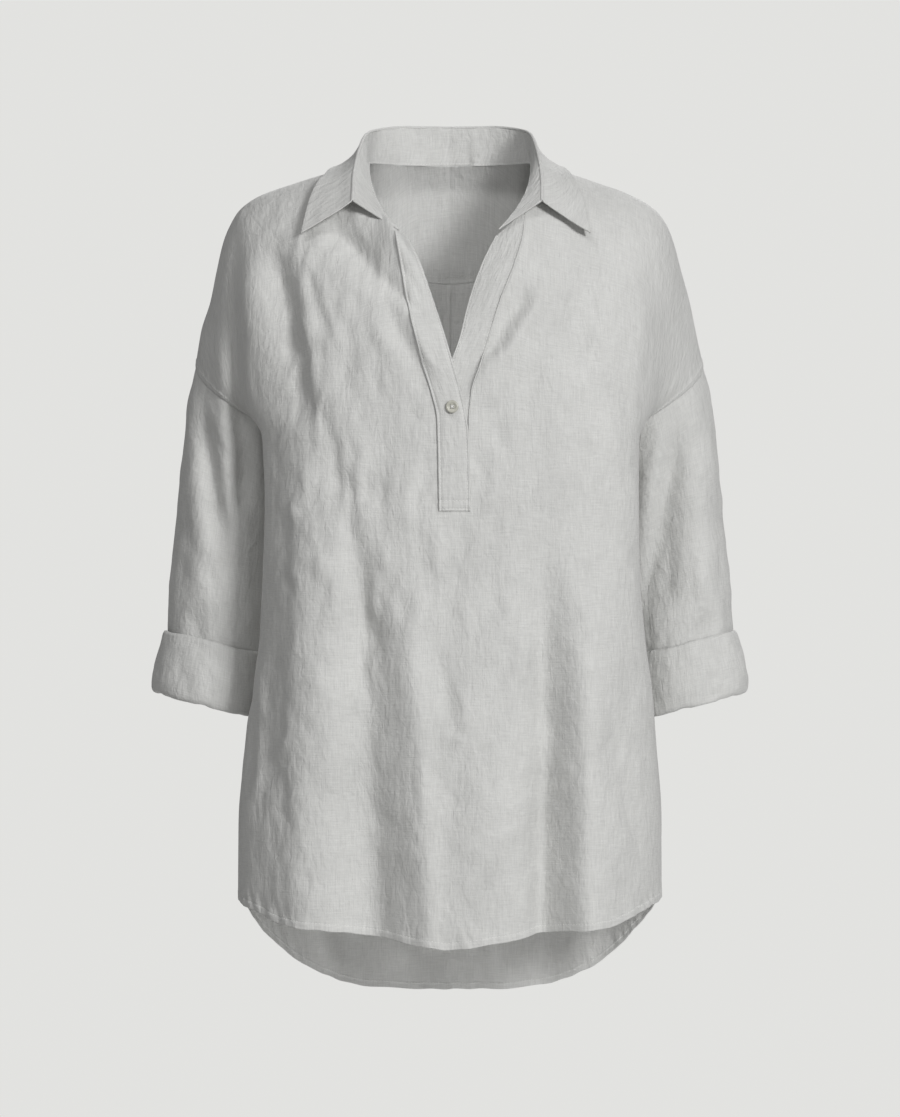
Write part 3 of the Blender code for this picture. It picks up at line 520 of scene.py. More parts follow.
def smooth(share):
    """Eases from 0 to 1 as share goes from 0 to 1."""
    share = np.clip(share, 0.0, 1.0)
    return share * share * (3.0 - 2.0 * share)


def between(value, start, over, end, end_over):
    """1 on a stretch of value from start to end, eased to 0 over a width inside each end."""
    return smooth((value - start) / over) * smooth((end - value) / end_over)


def bell(off, width):
    """A bump of height 1 where off is 0, gone about two widths away."""
    return np.exp(-((off / width) ** 2))


def read(rows, key, name):
    """One column of a table at key, on a smooth curve that doesn't overshoot its rows."""
    knots = np.array([row[0] for row in rows], dtype=float)
    values = np.array([getattr(row, name) for row in rows], dtype=float)
    steps = np.diff(knots)
    slopes = np.diff(values) / steps
    tangents = np.concatenate((slopes[:1], slopes[1:], slopes[-1:]))
    for index in range(1, len(slopes)):
        before, after = slopes[index - 1], slopes[index]
        same_way = before * after > 0.0
        tangents[index] = 2.0 * before * after / (before + after) if same_way else 0.0
    key = np.clip(np.asarray(key, dtype=float), knots[0], knots[-1])
    span = np.clip(np.searchsorted(knots, key, side="right") - 1, 0, len(steps) - 1)
    step = steps[span]
    part = (key - knots[span]) / step
    rest = 1.0 - part
    return (
        values[span] * (1.0 + 2.0 * part) * rest * rest
        + tangents[span] * step * part * rest * rest
        + values[span + 1] * part * part * (3.0 - 2.0 * part)
        - tangents[span + 1] * step * part * part * rest
    )


def stack(x, y, z):
    """Points from their three coordinates."""
    return np.stack(np.broadcast_arrays(x, y, z), axis=-1).astype(float)


def side_of(value):
    """-1 on the wearer's right and 1 on the left."""
    return np.where(value < 0, -1.0, 1.0)


def sided(rows, key, side):
    """The right or left column of a table, by the sign of side."""
    return np.where(side < 0, read(rows, key, "right"), read(rows, key, "left"))


def trunk_point(face, share, height):
    """The trunk at a height, share of the way from the centre line to the side seam."""
    away = np.abs(share)
    side = side_of(share)
    seam = np.radians(read(TRUNK, height, "seam"))
    if face == "front":
        turn = away * (math.pi / 2 + seam)
    else:
        turn = math.pi - away * (math.pi / 2 - seam)
    widest = read(TRUNK, height, "widest")
    ahead = np.cos(turn) >= 0.0
    power = np.where(ahead, 2.0 / FRONT_ROUND, 2.0 / BACK_ROUND)
    reach = np.where(
        ahead,
        read(TRUNK, height, "front") - widest,
        read(TRUNK, height, "back") - widest,
    )
    out = sided(TRUNK, height, side) * np.abs(np.sin(turn)) ** power
    return stack(side * out, widest + reach * np.abs(np.cos(turn)) ** power, height)


def ring_point(ring, side, turn, out=0.0):
    """A ring of the sleeve or cuff; turn is 0 at its outer side and grows by the front."""
    middle = (ring.outer + ring.inner) / 2
    half = (ring.outer - ring.inner) / 2 + out
    way_in = np.abs((1.0 - np.cos(turn)) / 2.0) ** ring.sag
    return stack(
        side * (middle + half * np.cos(turn)),
        ring.depth - (ring.half_depth + out) * np.sin(turn),
        ring.outer_height + (ring.inner_height - ring.outer_height) * way_in,
    )


def spoke(side, turn):
    """The direction out of a sleeve's ring."""
    return stack(side * np.cos(turn), -np.sin(turn), 0.0)


def sleeve_ring(share):
    """The sleeve's ring at a share of its length."""
    return Ring(share, *(read(SLEEVE, share, name) for name in Ring._fields[1:]))


def upper_point(face, share, rise):
    """The shoulders: rise goes from 0 at the underarm's level to 1 on the shoulder line."""
    away = np.abs(share)
    side = side_of(share)
    low = trunk_point(face, share, np.full(np.shape(share), CHEST_HEIGHT))
    high = stack(
        side * sided(SHOULDER, away, side),
        read(SHOULDER, away, "depth"),
        read(SHOULDER, away, "height"),
    )
    turn = rise * math.pi / 2
    ease = (1.0 - np.cos(math.pi * rise)) / 2.0
    weights = stack(ease, 1.0 - np.cos(turn), np.sin(turn))
    dome = low + (high - low) * weights

    underarm = math.radians(UNDERARM_TURN)
    if face == "front":
        round_armhole = underarm * (1.0 - rise)
    else:
        round_armhole = underarm + (2 * math.pi - underarm) * rise
    armhole = ring_point(SLEEVE[0], side, round_armhole)
    corner = ring_point(SLEEVE[0], side, underarm)
    top = ring_point(SLEEVE[0], side, 0.0)
    eased = ease[..., None]
    arc = low + (high - low) * eased + armhole - corner - (top - corner) * eased
    soon = smooth(rise / UNDERARM_RISE) - ease
    arc[..., 2] += (corner[..., 2] - CHEST_HEIGHT) * soon

    blend = smooth((away - ARC_FROM) / (1.0 - ARC_FROM))[..., None]
    return dome * (1.0 - blend) + arc * blend


def paired(share, rise):
    """Shares and rises as arrays of one shape."""
    return np.broadcast_arrays(np.asarray(share, dtype=float), np.asarray(rise, dtype=float))


def cloth_point(face, share, rise):
    """The plain front or back: rise is -1 at the hem and 1 on the shoulder line."""
    share, rise = paired(share, rise)
    hem = read(HEM, np.abs(share), face)
    height = CHEST_HEIGHT + (CHEST_HEIGHT - hem) * np.minimum(rise, 0.0)
    lower = trunk_point(face, share, height)
    upper = upper_point(face, share, np.maximum(rise, 0.0))
    return np.where((rise < 0.0)[..., None], lower, upper)


def outward(face, share, rise):
    """The direction that points out of the cloth."""
    across = cloth_point(face, np.clip(share + STEP, -1, 1), rise)
    across = across - cloth_point(face, np.clip(share - STEP, -1, 1), rise)
    up = cloth_point(face, share, np.clip(rise + STEP, -1, 1))
    up = up - cloth_point(face, share, np.clip(rise - STEP, -1, 1))
    normal = np.cross(across, up)
    if face == "back":
        normal = -normal
    return normal / np.linalg.norm(normal, axis=-1, keepdims=True)


def fold_height(folds, x, z):
    """How far the folds of a table move the cloth out at a place in the front view."""
    total = np.zeros(np.shape(x))
    for fold in folds:
        run = np.array((fold.x_low - fold.x_top, fold.z_low - fold.z_top), dtype=float)
        length = np.hypot(*run)
        run = run / length
        along = ((x - fold.x_top) * run[0] + (z - fold.z_top) * run[1]) / length
        off = (x - fold.x_top) * run[1] - (z - fold.z_top) * run[0]
        ends = between(along, 0.0, FOLD_SETS_IN, 1.0, FOLD_DIES)
        total = total + fold.depth * bell(off, fold.width) * ends
    return total


def free_to_fold(share, rise):
    """1 where folds are whole, and 0 at the side seams and the shoulder line."""
    return smooth((1.0 - np.abs(share)) / STILL_SIDE) * smooth((STILL_TOP - rise) / STILL_FADE)


def on_pleat(x):
    """1 on the pleat, and 0 beside it."""
    return smooth((PLEAT_HALF + PLEAT_SIDE - np.abs(x)) / PLEAT_SIDE)


def cloth(face, share, rise, lift=0.0):
    """The front or back with its largest folds and its pleat, moved out by lift."""
    share, rise = paired(share, rise)
    place = cloth_point(face, share, rise)
    x, z = place[..., 0], place[..., 2]
    out = fold_height(LARGE_FOLDS[face], x, z) * free_to_fold(share, rise)
    if face == "back":
        out = out + PLEAT_RISE * on_pleat(x) * smooth((z - PLEAT_END) / PLEAT_FADE)
    return place + outward(face, share, rise) * (out + lift)[..., None]


def find_front(x, z):
    """The share and rise at which the plain front shows at a place in the front view."""
    share = np.asarray(x, dtype=float) / FRONT_REACH_ACROSS
    rise = (np.asarray(z, dtype=float) - CHEST_HEIGHT) / FRONT_REACH_UP
    for _ in range(FIND_STEPS):
        here = cloth_point("front", share, rise)
        across = cloth_point("front", share + STEP, rise) - here
        up = cloth_point("front", share, rise + STEP) - here
        share = share + FIND_PACE * STEP * (x - here[..., 0]) / across[..., 0]
        rise = rise + FIND_PACE * STEP * (z - here[..., 2]) / up[..., 2]
        share = np.clip(share, -FIND_SIDE, FIND_SIDE)
        rise = np.clip(rise, -FIND_TOP, FIND_TOP)
    return share, rise


def halve(low, high, is_low):
    """Closes in on the value between low and high where is_low stops being true."""
    for _ in range(HALVINGS):
        middle = (low + high) / 2.0
        inside = is_low(middle)
        low = np.where(inside, middle, low)
        high = np.where(inside, high, middle)
    return (low + high) / 2.0


def front_edge_share(side, rise):
    """Share at which each row of the front's halves starts: its neckline or slot."""
    def before_edge(away):
        place = cloth_point("front", side * away, rise)
        return np.abs(place[..., 0]) < sided(FRONT_EDGE, place[..., 2], side)

    rise = np.asarray(rise, dtype=float)
    edge = halve(np.zeros(rise.shape), np.full(rise.shape, PAST_NECK), before_edge)
    return np.where(rise >= 1.0, NECK_SHARE, edge)


def back_neck_rise(share):
    """Rise at which each column of the yoke ends, at the neckline or the shoulder line."""
    def below_edge(rise):
        place = cloth_point("back", share, rise)
        toward_side = np.abs(place[..., 0]) / NECK_WIDTH
        return place[..., 2] < NECK_BACK - (NECK_BACK - NECK_SIDE) * toward_side ** 4

    share = np.asarray(share, dtype=float)
    edge = halve(np.full(share.shape, BELOW_NECK), np.ones(share.shape), below_edge)
    return np.where(np.abs(share) < NECK_SHARE, edge, 1.0)


def yoke_seam(share):
    """Rise of the seam between the back and the yoke."""
    return YOKE_CENTRE + (YOKE_SIDE - YOKE_CENTRE) * np.abs(share) ** 1.5


def armhole_point(side, turn):
    """The armhole as the front and the back leave it, by the turn round it."""
    underarm = math.radians(UNDERARM_TURN)
    ahead = turn <= underarm
    rise_front = np.clip(1.0 - turn / underarm, 0.0, 1.0)
    rise_back = np.clip((turn - underarm) / (2 * math.pi - underarm), 0.0, 1.0)
    share = np.full(np.shape(turn), side)
    by_front = cloth_point("front", share, rise_front)
    by_back = cloth_point("back", share, rise_back)
    return np.where(ahead[..., None], by_front, by_back)


def sleeve_point(side, turn, along):
    """The sleeve with its folds, from the armhole (along 0) into the cuff (along 1)."""
    place = ring_point(sleeve_ring(along), side, turn)
    fitted = armhole_point(side, turn) - ring_point(SLEEVE[0], side, turn)
    place = place + fitted * (1.0 - smooth(along / FITTED_END))[..., None]
    off = (turn - math.radians(UNDERARM_TURN)) / math.radians(UNDERARM_SPREAD)
    below = 1.0 - smooth((along - FITTED_END) / EASE_FADE)
    place = place - spoke(side, turn) * (UNDERARM_EASE * bell(off, 1.0) * below)[..., None]
    folded = between(along, *SLEEVE_FOLDED)
    ahead = smooth(np.sin(turn) + FOLDED_AHEAD)
    height = fold_height(SLEEVE_FOLDS, place[..., 0], place[..., 2]) * folded * ahead
    behind = fold_height(SLEEVE_FOLDS, -place[..., 0], place[..., 2]) * folded * (1.0 - ahead)
    return place + spoke(side, turn) * (height + behind)[..., None]


def cuff_point(side, turn, height, out):
    """The cuff: height is 0 on its lower rim and 1 on its upper rim."""
    rings = sleeve_ring(CUFF_BOTTOM + (CUFF_TOP - CUFF_BOTTOM) * height)
    least = np.minimum(out, CUFF_FOLD)
    fuller = CUFF_INNER_SIDE + (1.0 - CUFF_INNER_SIDE) * (1.0 + np.cos(turn)) / 2.0
    return ring_point(rings, side, turn, least + (out - least) * fuller)


def neck_point(turn):
    """The neckline from the front right end (-1) by centre back (0) to the left (1)."""
    turn = np.asarray(turn, dtype=float)
    away = np.abs(turn)
    side = side_of(turn)
    back_part = np.clip(away / NECK_FRONT_SHARE, 0.0, 1.0)
    share = side * NECK_SHARE * np.sin(back_part * math.pi / 2)
    rise = back_neck_rise(share)
    behind = cloth("back", share, rise)
    behind_out = outward("back", share, rise)

    front_part = np.clip((away - NECK_FRONT_SHARE) / (1.0 - NECK_FRONT_SHARE), 0.0, 1.0)
    rise_end = find_front(NECK_END_X[0], NECK_END)[1]
    rise = 1.0 - (1.0 - rise_end) * front_part
    share = side * front_neck_share(side, rise)
    ahead = cloth("front", share, rise)
    ahead_out = outward("front", share, rise)
    in_front = (away > NECK_FRONT_SHARE)[..., None]
    return np.where(in_front, ahead, behind), np.where(in_front, ahead_out, behind_out)


def front_neck_share(side, rise):
    """Share at which the neckline crosses each row of the front, the bands included."""
    def before_edge(away):
        place = cloth_point("front", side * away, rise)
        end = np.where(side < 0, NECK_END_X[0], NECK_END_X[1])
        shape = read(NECKLINE, place[..., 2], "out")
        return np.abs(place[..., 0]) < end + (NECK_WIDTH - end) * shape

    edge = halve(np.zeros(rise.shape), np.full(rise.shape, PAST_NECK), before_edge)
    return np.where(rise >= 0.999, NECK_SHARE, edge)


def collar_line(turn, line):
    """The roll line or the outer edge of the collar."""
    away = np.abs(turn)
    side = side_of(turn)
    lean = 1.0 - COLLAR_LEAN * side * away
    return stack(
        side * read(COLLAR, away, line + "_x") * lean,
        read(COLLAR, away, line + "_y"),
        read(COLLAR, away, line + "_z"),
    )


# ---- Creases, gathers and sewn edges ----

def ticks(length, pitch, start=(0.0,), end=(0.0,)):
    """Shares of a length: a pitch apart, and at given distances from its two ends."""
    count = max(1, round((length - start[-1] - end[-1]) / pitch))
    middle = np.linspace(start[-1], length - end[-1], count + 1)
    return np.concatenate((start[:-1], middle, length - np.array(end[:-1])[::-1])) / length


def nearest(shares, length, distance):
    """Index of the share that lies nearest a distance from the start of a length."""
    return int(np.abs(shares * length - distance).argmin())


def scatter(rows, seed):
    """Small creases of uneven size, strewn over the regions of a table."""
    chance = np.random.default_rng(seed)
    creases = []
    for row in rows:
        for _ in range(row.count):
            across = chance.uniform(row.left, row.right)
            up = chance.uniform(row.low, row.high)
            half = row.length * chance.uniform(0.25, 0.8)
            lean = math.radians(row.lean + row.spread * chance.normal())
            aside, upward = half * math.sin(lean), half * math.cos(lean)
            width = row.width * chance.uniform(0.6, 1.5)
            depth = row.depth * chance.uniform(0.3, 1.4) * chance.choice((-1.0, 1.0))
            creases.append(
                Fold(across - aside, up + upward, across + aside, up - upward, width, depth)
            )
    return creases


def crease_height(creases, across, up):
    """How far a list of creases moves the cloth out, their lines bent a little."""
    bent_across = across + 3.0 * np.sin(up / 19.0 + 0.7 * np.sin(across / 31.0))
    bent_across = bent_across + 1.5 * np.sin(up / 7.3 + across / 23.0)
    bent_up = up + 2.5 * np.sin(across / 13.0 + up / 41.0)
    total = np.zeros(np.shape(across))
    for crease in creases:
        run = np.array((crease.x_low - crease.x_top, crease.z_low - crease.z_top))
        length = np.hypot(*run)
        run = run / length
        right = bent_across - crease.x_top
        above = bent_up - crease.z_top
        along = (right * run[0] + above * run[1]) / length
        off = np.abs(right * run[1] - above * run[0]) / crease.width
        near = (off < CREASE_REACH) & (along > 0.0) & (along < 1.0)
        ends = between(along[near], 0.0, CREASE_ENDS, 1.0, CREASE_ENDS)
        total[near] += crease.depth * np.exp(-off[near] ** CREASE_POWER) * ends
    return total


def rumple(place, kind):
    """Uneven swelling of the cloth at places in millimetres."""
    flat = place.reshape(-1, 3) / np.array((kind.wide, kind.wide, kind.tall))
    swell = [noise.fractal(Vector(point), 1.0, 2.0, 3) for point in flat]
    return kind.height * np.array(swell).reshape(place.shape[:-1])


def pucker(along):
    """The uneven gathering along a line of sewing, from -1 to 1."""
    wave = np.sin(along / 2.3 + 1.9 * np.sin(along / 11.0))
    return wave * (0.55 + 0.45 * np.sin(along / 31.0 + 1.0))


def sewn_line(off, along, sewing):
    """The groove of a line of sewing and its gathers, off millimetres from an edge."""
    past = off - sewing.stitch
    reach = np.where(past < 0.0, sewing.near, sewing.far)
    gathers = sewing.gathers * pucker(along) * bell(past, reach)
    return gathers - sewing.groove * bell(past, sewing.width)


def hem_relief(up, along):
    """A turned-up hem: its extra layers, its sewing, and the sway of its edge."""
    layers = HEM_SEWING.layers * smooth((LAYERS_END - up) / LAYERS_FADE)
    sway = 1.6 * np.sin(along / 17.0 + 1.4 * np.sin(along / 47.0)) * np.exp(-up / 38.0)
    return layers + sewn_line(up, along + HEM_SLANT * up, HEM_SEWING) + sway


def seam_relief(off, along):
    """A flat sewn-down seam, off millimetres from its edge."""
    layers = SEAM_SEWING.layers * smooth((LAYERS_END - off) / LAYERS_FADE) * smooth(off)
    return layers + sewn_line(off, along, SEAM_SEWING)


def edge_relief(off, crisp=1.0):
    """A doubled edge with a line of sewing close to it."""
    layers = EDGE_LAYERS * smooth((EDGE_STITCH - off) / LAYERS_FADE)
    groove = EDGE_GROOVE * bell(off - EDGE_STITCH, SEAM_SEWING.width)
    return crisp * (layers - groove) - EDGE_TURNED * bell(off, EDGE_TURN_WIDTH)


def measured(face):
    """Length of the cloth from the underarm's level up to each rise."""
    rise = np.linspace(0.0, 1.0, MEASURE_STEPS)
    line = cloth_point(face, np.full(MEASURE_STEPS, MEASURE_SHARE), rise)
    steps = np.linalg.norm(np.diff(line, axis=0), axis=1)
    return rise, np.concatenate(((0.0,), np.cumsum(steps)))


STREWN = {
    "front": scatter(FRONT_CRUMPLES, FRONT_SEED),
    "back": scatter(BACK_CRUMPLES, BACK_SEED),
}
RUN_UP = {face: measured(face) for face in ("front", "back")}


def cut_height(face, share, rise):
    """The cut cloth's own upward coordinate."""
    lower = cloth_point(face, share, np.minimum(rise, 0.0))[..., 2]
    return lower + np.interp(rise, *RUN_UP[face])


def strewn_relief(face, place, share, rise, across, up):
    """Small creases and swelling, quieter at the sides, the shoulder line and the neck."""
    away = np.abs(share)
    out = crease_height(STREWN[face], across, up) + rumple(place, TRUNK_RUMPLE)
    out = out * (1.0 - QUIET_BY * smooth((away - QUIET_FROM) / QUIET_OVER))
    out = out * smooth((1.0 - away) / SMOOTH_SIDE) * smooth((SMOOTH_TOP - rise) / SMOOTH_FADE)
    from_neck = np.hypot(place[..., 0], place[..., 2])
    return out * smooth((from_neck - SMOOTH_NECK) / SMOOTH_NECK_FADE)


def pleat_relief(share, rise, x, z):
    """The box pleat below the yoke, with the groove between its two folds."""
    below_yoke = yoke_seam(share) - rise
    raised = PLEAT_RISE * on_pleat(x) * smooth(below_yoke / PLEAT_SETS_IN)
    groove = PLEAT_GROOVE * bell(x, PLEAT_GROOVE_WIDTH) * smooth(below_yoke / GROOVE_SETS_IN)
    return (raised - groove) * smooth((z - PLEAT_END) / PLEAT_FADE)


def dressed(face, share, rise, across, lift=0.0):
    """The front or back with all its folds, creases, hem and seams."""
    share, rise = paired(share, rise)
    place = cloth_point(face, share, rise)
    x, z = place[..., 0], place[..., 2]
    away = np.abs(share)
    up = cut_height(face, share, rise)
    still = free_to_fold(share, rise)
    out = fold_height(LARGE_FOLDS[face], x, z) * still
    out = out + crease_height(PLACED[face], x, z) * still
    if face == "back":
        out = out + pleat_relief(share, rise, x, z)
    out = out + strewn_relief(face, place, share, rise, across, up)
    from_hem = (rise + 1.0) * (CHEST_HEIGHT - read(HEM, away, face))
    flatter = 1.0 - CORNER_FLATTER * smooth((away - CORNER_FROM) / CORNER_OVER)
    out = out + hem_relief(from_hem, across) * smooth(-rise / HEM_REACH) * flatter
    from_seam = (1.0 - away) * SIDE_REACH
    at_seam = smooth((from_hem - SEAM_FROM) / SEAM_SETS_IN)
    at_seam = at_seam * (1.0 + ARMHOLE_FIRMER * smooth(rise / ARMHOLE_SETS_IN))
    out = out + seam_relief(from_seam, up) * at_seam
    moved = place + outward(face, share, rise) * (out + lift)[..., None]
    wave = np.sin(across / 5.2 + 1.6 * np.sin(across / 19.0)) * bell(from_hem, WAVE_REACH)
    moved[..., 2] += WAVE_HEIGHT * wave * smooth((1.0 - away) / WAVE_FADE)
    if face == "front":
        moved[..., 1] -= fold_height(ARM_FOLDS, x, z) * smooth((1.0 - rise) / ARM_FOLDS_FADE)
        moved[..., 1] -= fold_height(LONG_FOLDS, x, z) * still
    return moved


def normals(points):
    """The directions at right angles to a grid of points."""
    down, across = np.gradient(points, axis=(0, 1))
    facing = np.cross(across, down)
    size = np.linalg.norm(facing, axis=-1, keepdims=True)
    return facing / np.maximum(size, 1e-9)


def distances(points, axis):
    """Distances run through a grid of points along one axis."""
    steps = np.linalg.norm(np.diff(points, axis=axis), axis=-1)
    start = np.zeros_like(steps[:1] if axis == 0 else steps[:, :1])
    return np.concatenate((start, np.cumsum(steps, axis=axis)), axis=axis)


def from_ends(run):
    """Distance to the nearer end of each row of distances run."""
    return np.minimum(run, run[:, -1:] - run)


# ---- Meshes ----

def add_grid(mesh, points, cut):
    """Adds a grid of faces through points, and its place on the cut cloth as a map."""
    rows, columns = points.shape[:2]
    made = bmesh.ops.create_grid(
        mesh, x_segments=columns - 1, y_segments=rows - 1, size=0.5
    )["verts"]
    cloth_map = mesh.loops.layers.uv.verify()
    spots = {}
    for vertex in made:
        column = round((vertex.co.x + 0.5) * (columns - 1))
        row = round((vertex.co.y + 0.5) * (rows - 1))
        spots[vertex] = (row, column)
        vertex.co = points[row, column] * MM
    for face in {face for vertex in made for face in vertex.link_faces}:
        for loop in face.loops:
            loop[cloth_map].uv = cut[spots[loop.vert]] * MM


def finished(mesh, name):
    """The mesh data of a bmesh that is ready."""
    data = bpy.data.meshes.new(name)
    mesh.to_mesh(data)
    mesh.free()
    return data


def add_object(name, data):
    """An object for a mesh, light or camera, in the scene."""
    made = bpy.data.objects.new(name, data)
    bpy.context.scene.collection.objects.link(made)
    return made


def add_piece(name, data, material, node=None):
    """A piece of the blouse from its mesh, in place of a node's solid if one is named."""
    data.materials.append(material)
    data.shade_smooth()
    piece = add_object(name, data)
    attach(piece, "root")
    if node:
        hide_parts(node)
    return piece


def make_cloth(node, grids, material, wall):
    """A piece of cloth from one or more grids, with a wall, in place of its solid."""
    mesh = bmesh.new()
    for points, cut in grids:
        add_grid(mesh, points, cut)
    bmesh.ops.remove_doubles(mesh, verts=mesh.verts, dist=0.00002)
    data = finished(mesh, node + "_cloth")
    data.uv_layers[0].name = "cut"
    piece = add_piece(node + "_cloth", data, material, node)
    solid = piece.modifiers.new("wall", "SOLIDIFY")
    solid.thickness = wall * MM
    solid.offset = 0.0
    return piece


def cut_map(across, up):
    """Places on the cut cloth from their two coordinates."""
    return np.stack(np.broadcast_arrays(across, up), axis=-1)


def sew(node, lines, wall, material):
    """Stitches on a cloth's surface along lines, each with its points and facings."""
    mesh = bmesh.new()
    for points, facings in lines:
        run = distances(points[None], 1)[0]
        count = int(run[-1] / STITCH_PITCH)
        spots = (np.arange(count) + 0.5) * run[-1] / max(count, 1)
        for spot in spots:
            place, ahead, facing = (
                np.array([np.interp(spot + step, run, values[:, i]) for i in range(3)])
                for step, values in ((0.0, points), (0.5, points), (0.0, facings))
            )
            facing = Vector(facing).normalized()
            tangent = Vector(ahead - place)
            tangent = (tangent - tangent.dot(facing) * facing).normalized()
            turn = Matrix((tangent, facing.cross(tangent), facing)).transposed()
            size = Matrix.Diagonal(Vector(STITCH_SIZE) * MM)
            middle = (Vector(place) + facing * wall / 2) * MM
            bmesh.ops.create_icosphere(
                mesh, subdivisions=1, radius=1.0,
                matrix=Matrix.Translation(middle) @ (turn @ size).to_4x4(),
            )
    name = node + "_stitches"
    return add_piece(name, finished(mesh, name), material)


# ---- The pieces of cloth ----

def make_front(material, thread):
    """The front in one piece, slit from the neck to the lower end of the placket."""
    slot = (SLOT_BOTTOM - CHEST_HEIGHT) / (CHEST_HEIGHT - HEM[0].front)
    low = ticks((slot + 1.0) * TRUNK_RUN, PITCH, HEM_EDGE)
    below = -1.0 + (slot + 1.0) * low
    beside = slot * (1.0 - ticks(-slot * TRUNK_RUN, PITCH))[1:]
    upper = ticks(RUN_UP["front"][1][-1], PITCH, (0.0,), FREE_EDGE)[1:]
    rise = np.concatenate((below, beside, upper))
    spread = ticks(SIDE_REACH, PITCH, FREE_EDGE, SEAM_EDGE)
    hem_row = nearest(low, (slot + 1.0) * TRUNK_RUN, HEM_SEWING.stitch)
    grids, lines, starts = [], [], []
    for side in (-1.0, 1.0):
        start = front_edge_share(side, rise)
        share = side * (start[:, None] + (1.0 - start[:, None]) * spread)
        level = np.broadcast_to(rise[:, None], share.shape)
        plain = cloth_point("front", share, level)
        across = side * (np.abs(plain[:, :1, 0]) + distances(plain, 1))
        points = dressed("front", share, level, across)
        cut = cut_map(across, cut_height("front", share, level))
        if side < 0:
            points, cut = points[:, ::-1], cut[:, ::-1]
        facing = normals(points)
        lines.append((points[hem_row], facing[hem_row]))
        seam = nearest(spread, SIDE_REACH, SIDE_REACH - SEAM_SEWING.stitch)
        column = len(spread) - 1 - seam if side < 0 else seam
        lines.append((points[3:, column], facing[3:, column]))
        grids.append((points, cut))
        starts.append(side * start[:len(below)])
    part = ticks(SLOT_WIDTH, PITCH)
    middle = starts[0][:, None] * (1.0 - part) + starts[1][:, None] * part
    level = np.broadcast_to(below[:, None], middle.shape)
    across = cloth_point("front", middle, level)[..., 0]
    points = dressed("front", middle, level, across)
    grids.append((points, cut_map(across, cut_height("front", middle, level))))
    lines.append((points[hem_row], normals(points)[hem_row]))
    piece = make_cloth("front", grids, material, SHEER_WALL)
    stitches = sew("front", lines, SHEER_WALL, thread)


def back_columns():
    """Shares of the back's and the yoke's columns, closer at the pleat's folds."""
    stretches = [np.linspace(*stretch) for stretch in PLEAT_COLUMNS]
    outer = ticks(BACK_OUTER_RUN, PITCH, (0.0,), SEAM_EDGE)
    outer = NECK_SHARE + (1.0 - NECK_SHARE) * outer
    half = np.concatenate((PLEAT_GROOVE_COLUMNS, *stretches, outer))
    return np.concatenate((-half[:0:-1], half))


def back_grid(share, rise, relief=0.0):
    """Points and cut map of the back or the yoke."""
    share = np.broadcast_to(share, rise.shape)
    plain = cloth_point("back", share, rise)
    across = distances(plain, 1)
    middle = rise.shape[1] // 2
    across = across - across[:, middle:middle + 1]
    points = dressed("back", share, rise, across, relief)
    return points, cut_map(across, cut_height("back", share, rise))


def make_back(material, thread):
    """The back below the yoke, with a box pleat at its centre."""
    share = back_columns()
    low = ticks(BACK_RUN, PITCH, HEM_EDGE)
    below = np.broadcast_to(low[:, None] - 1.0, (len(low), len(share)))
    part = ticks(YOKE_RUN, PITCH, (0.0,), FREE_EDGE)[1:]
    rise = np.concatenate((below, part[:, None] * yoke_seam(share)[None, :]))
    points, cut = back_grid(share[None, :], rise)
    row = nearest(low, BACK_RUN, HEM_SEWING.stitch)
    facing = normals(points)
    lines = [(points[row], -facing[row]), (points[row], facing[row])]
    piece = make_cloth("back", [(points, cut)], material, SHEER_WALL)
    stitches = sew("back", lines, SHEER_WALL, thread)


def make_yoke(material, thread):
    """The yoke, from its seam on the back to the neckline and the shoulder lines."""
    share = back_columns()
    low = yoke_seam(share)
    high = back_neck_rise(share)
    part = ticks(YOKE_RUN, PITCH, SEAM_EDGE, FREE_EDGE)
    rise = low + (high - low) * part[:, None]
    from_seam = (rise - low) * RUN_UP["back"][1][-1]
    plain = cloth_point("back", np.broadcast_to(share, rise.shape), rise)
    relief = seam_relief(from_seam, plain[..., 0]) * smooth(from_seam / YOKE_SETS_IN)
    points, cut = back_grid(share[None, :], rise, relief)
    facing = normals(points)
    row = nearest(part, YOKE_RUN, SEAM_SEWING.stitch)
    lines = [
        (points[at, 3:-3], way * facing[at, 3:-3]) for at, way in ((row, -1), (1, -1), (row, 1))
    ]
    piece = make_cloth("yoke", [(points, cut)], material, SHEER_WALL)
    stitches = sew("yoke", lines, SHEER_WALL, thread)


def make_sleeve(side, name, material):
    """A sleeve from the armhole to just above the cuff's fold."""
    turn = 2.0 * math.pi * ticks(SLEEVE_GIRTH, PITCH)
    along = ticks(SLEEVE_RUN, PITCH, FREE_EDGE, (0.0,))
    turn, along = np.meshgrid(turn, along)
    plain = sleeve_point(side, turn, along)
    around = turn / (2.0 * math.pi) * SLEEVE_GIRTH
    down = -along * SLEEVE_RUN
    placed = crease_height(SLEEVE_CREASES, plain[..., 0], plain[..., 2])
    placed = placed * smooth(np.sin(turn) + CREASED_AHEAD)
    strewn = crease_height(scatter(SLEEVE_CRUMPLES, SLEEVE_SEEDS[side > 0]), around, down)
    strewn = strewn * off_seam(turn)
    out = (placed + strewn + rumple(plain, SLEEVE_RUMPLE)) * between(along, *SLEEVE_CREASED)
    out = out - SLEEVE_GROOVE * bell(along * SLEEVE_RUN, SLEEVE_GROOVE_WIDTH)
    points = plain + spoke(side, turn) * out[..., None]
    over = fold_height(ARM_FOLDS, plain[..., 0], plain[..., 2])
    points[..., 1] -= over * smooth(ARM_FOLDS_AHEAD * np.sin(turn))
    points[:, -1] = points[:, 0]
    piece = make_cloth(name, [(points, cut_map(around, down))], material, SHEER_WALL)


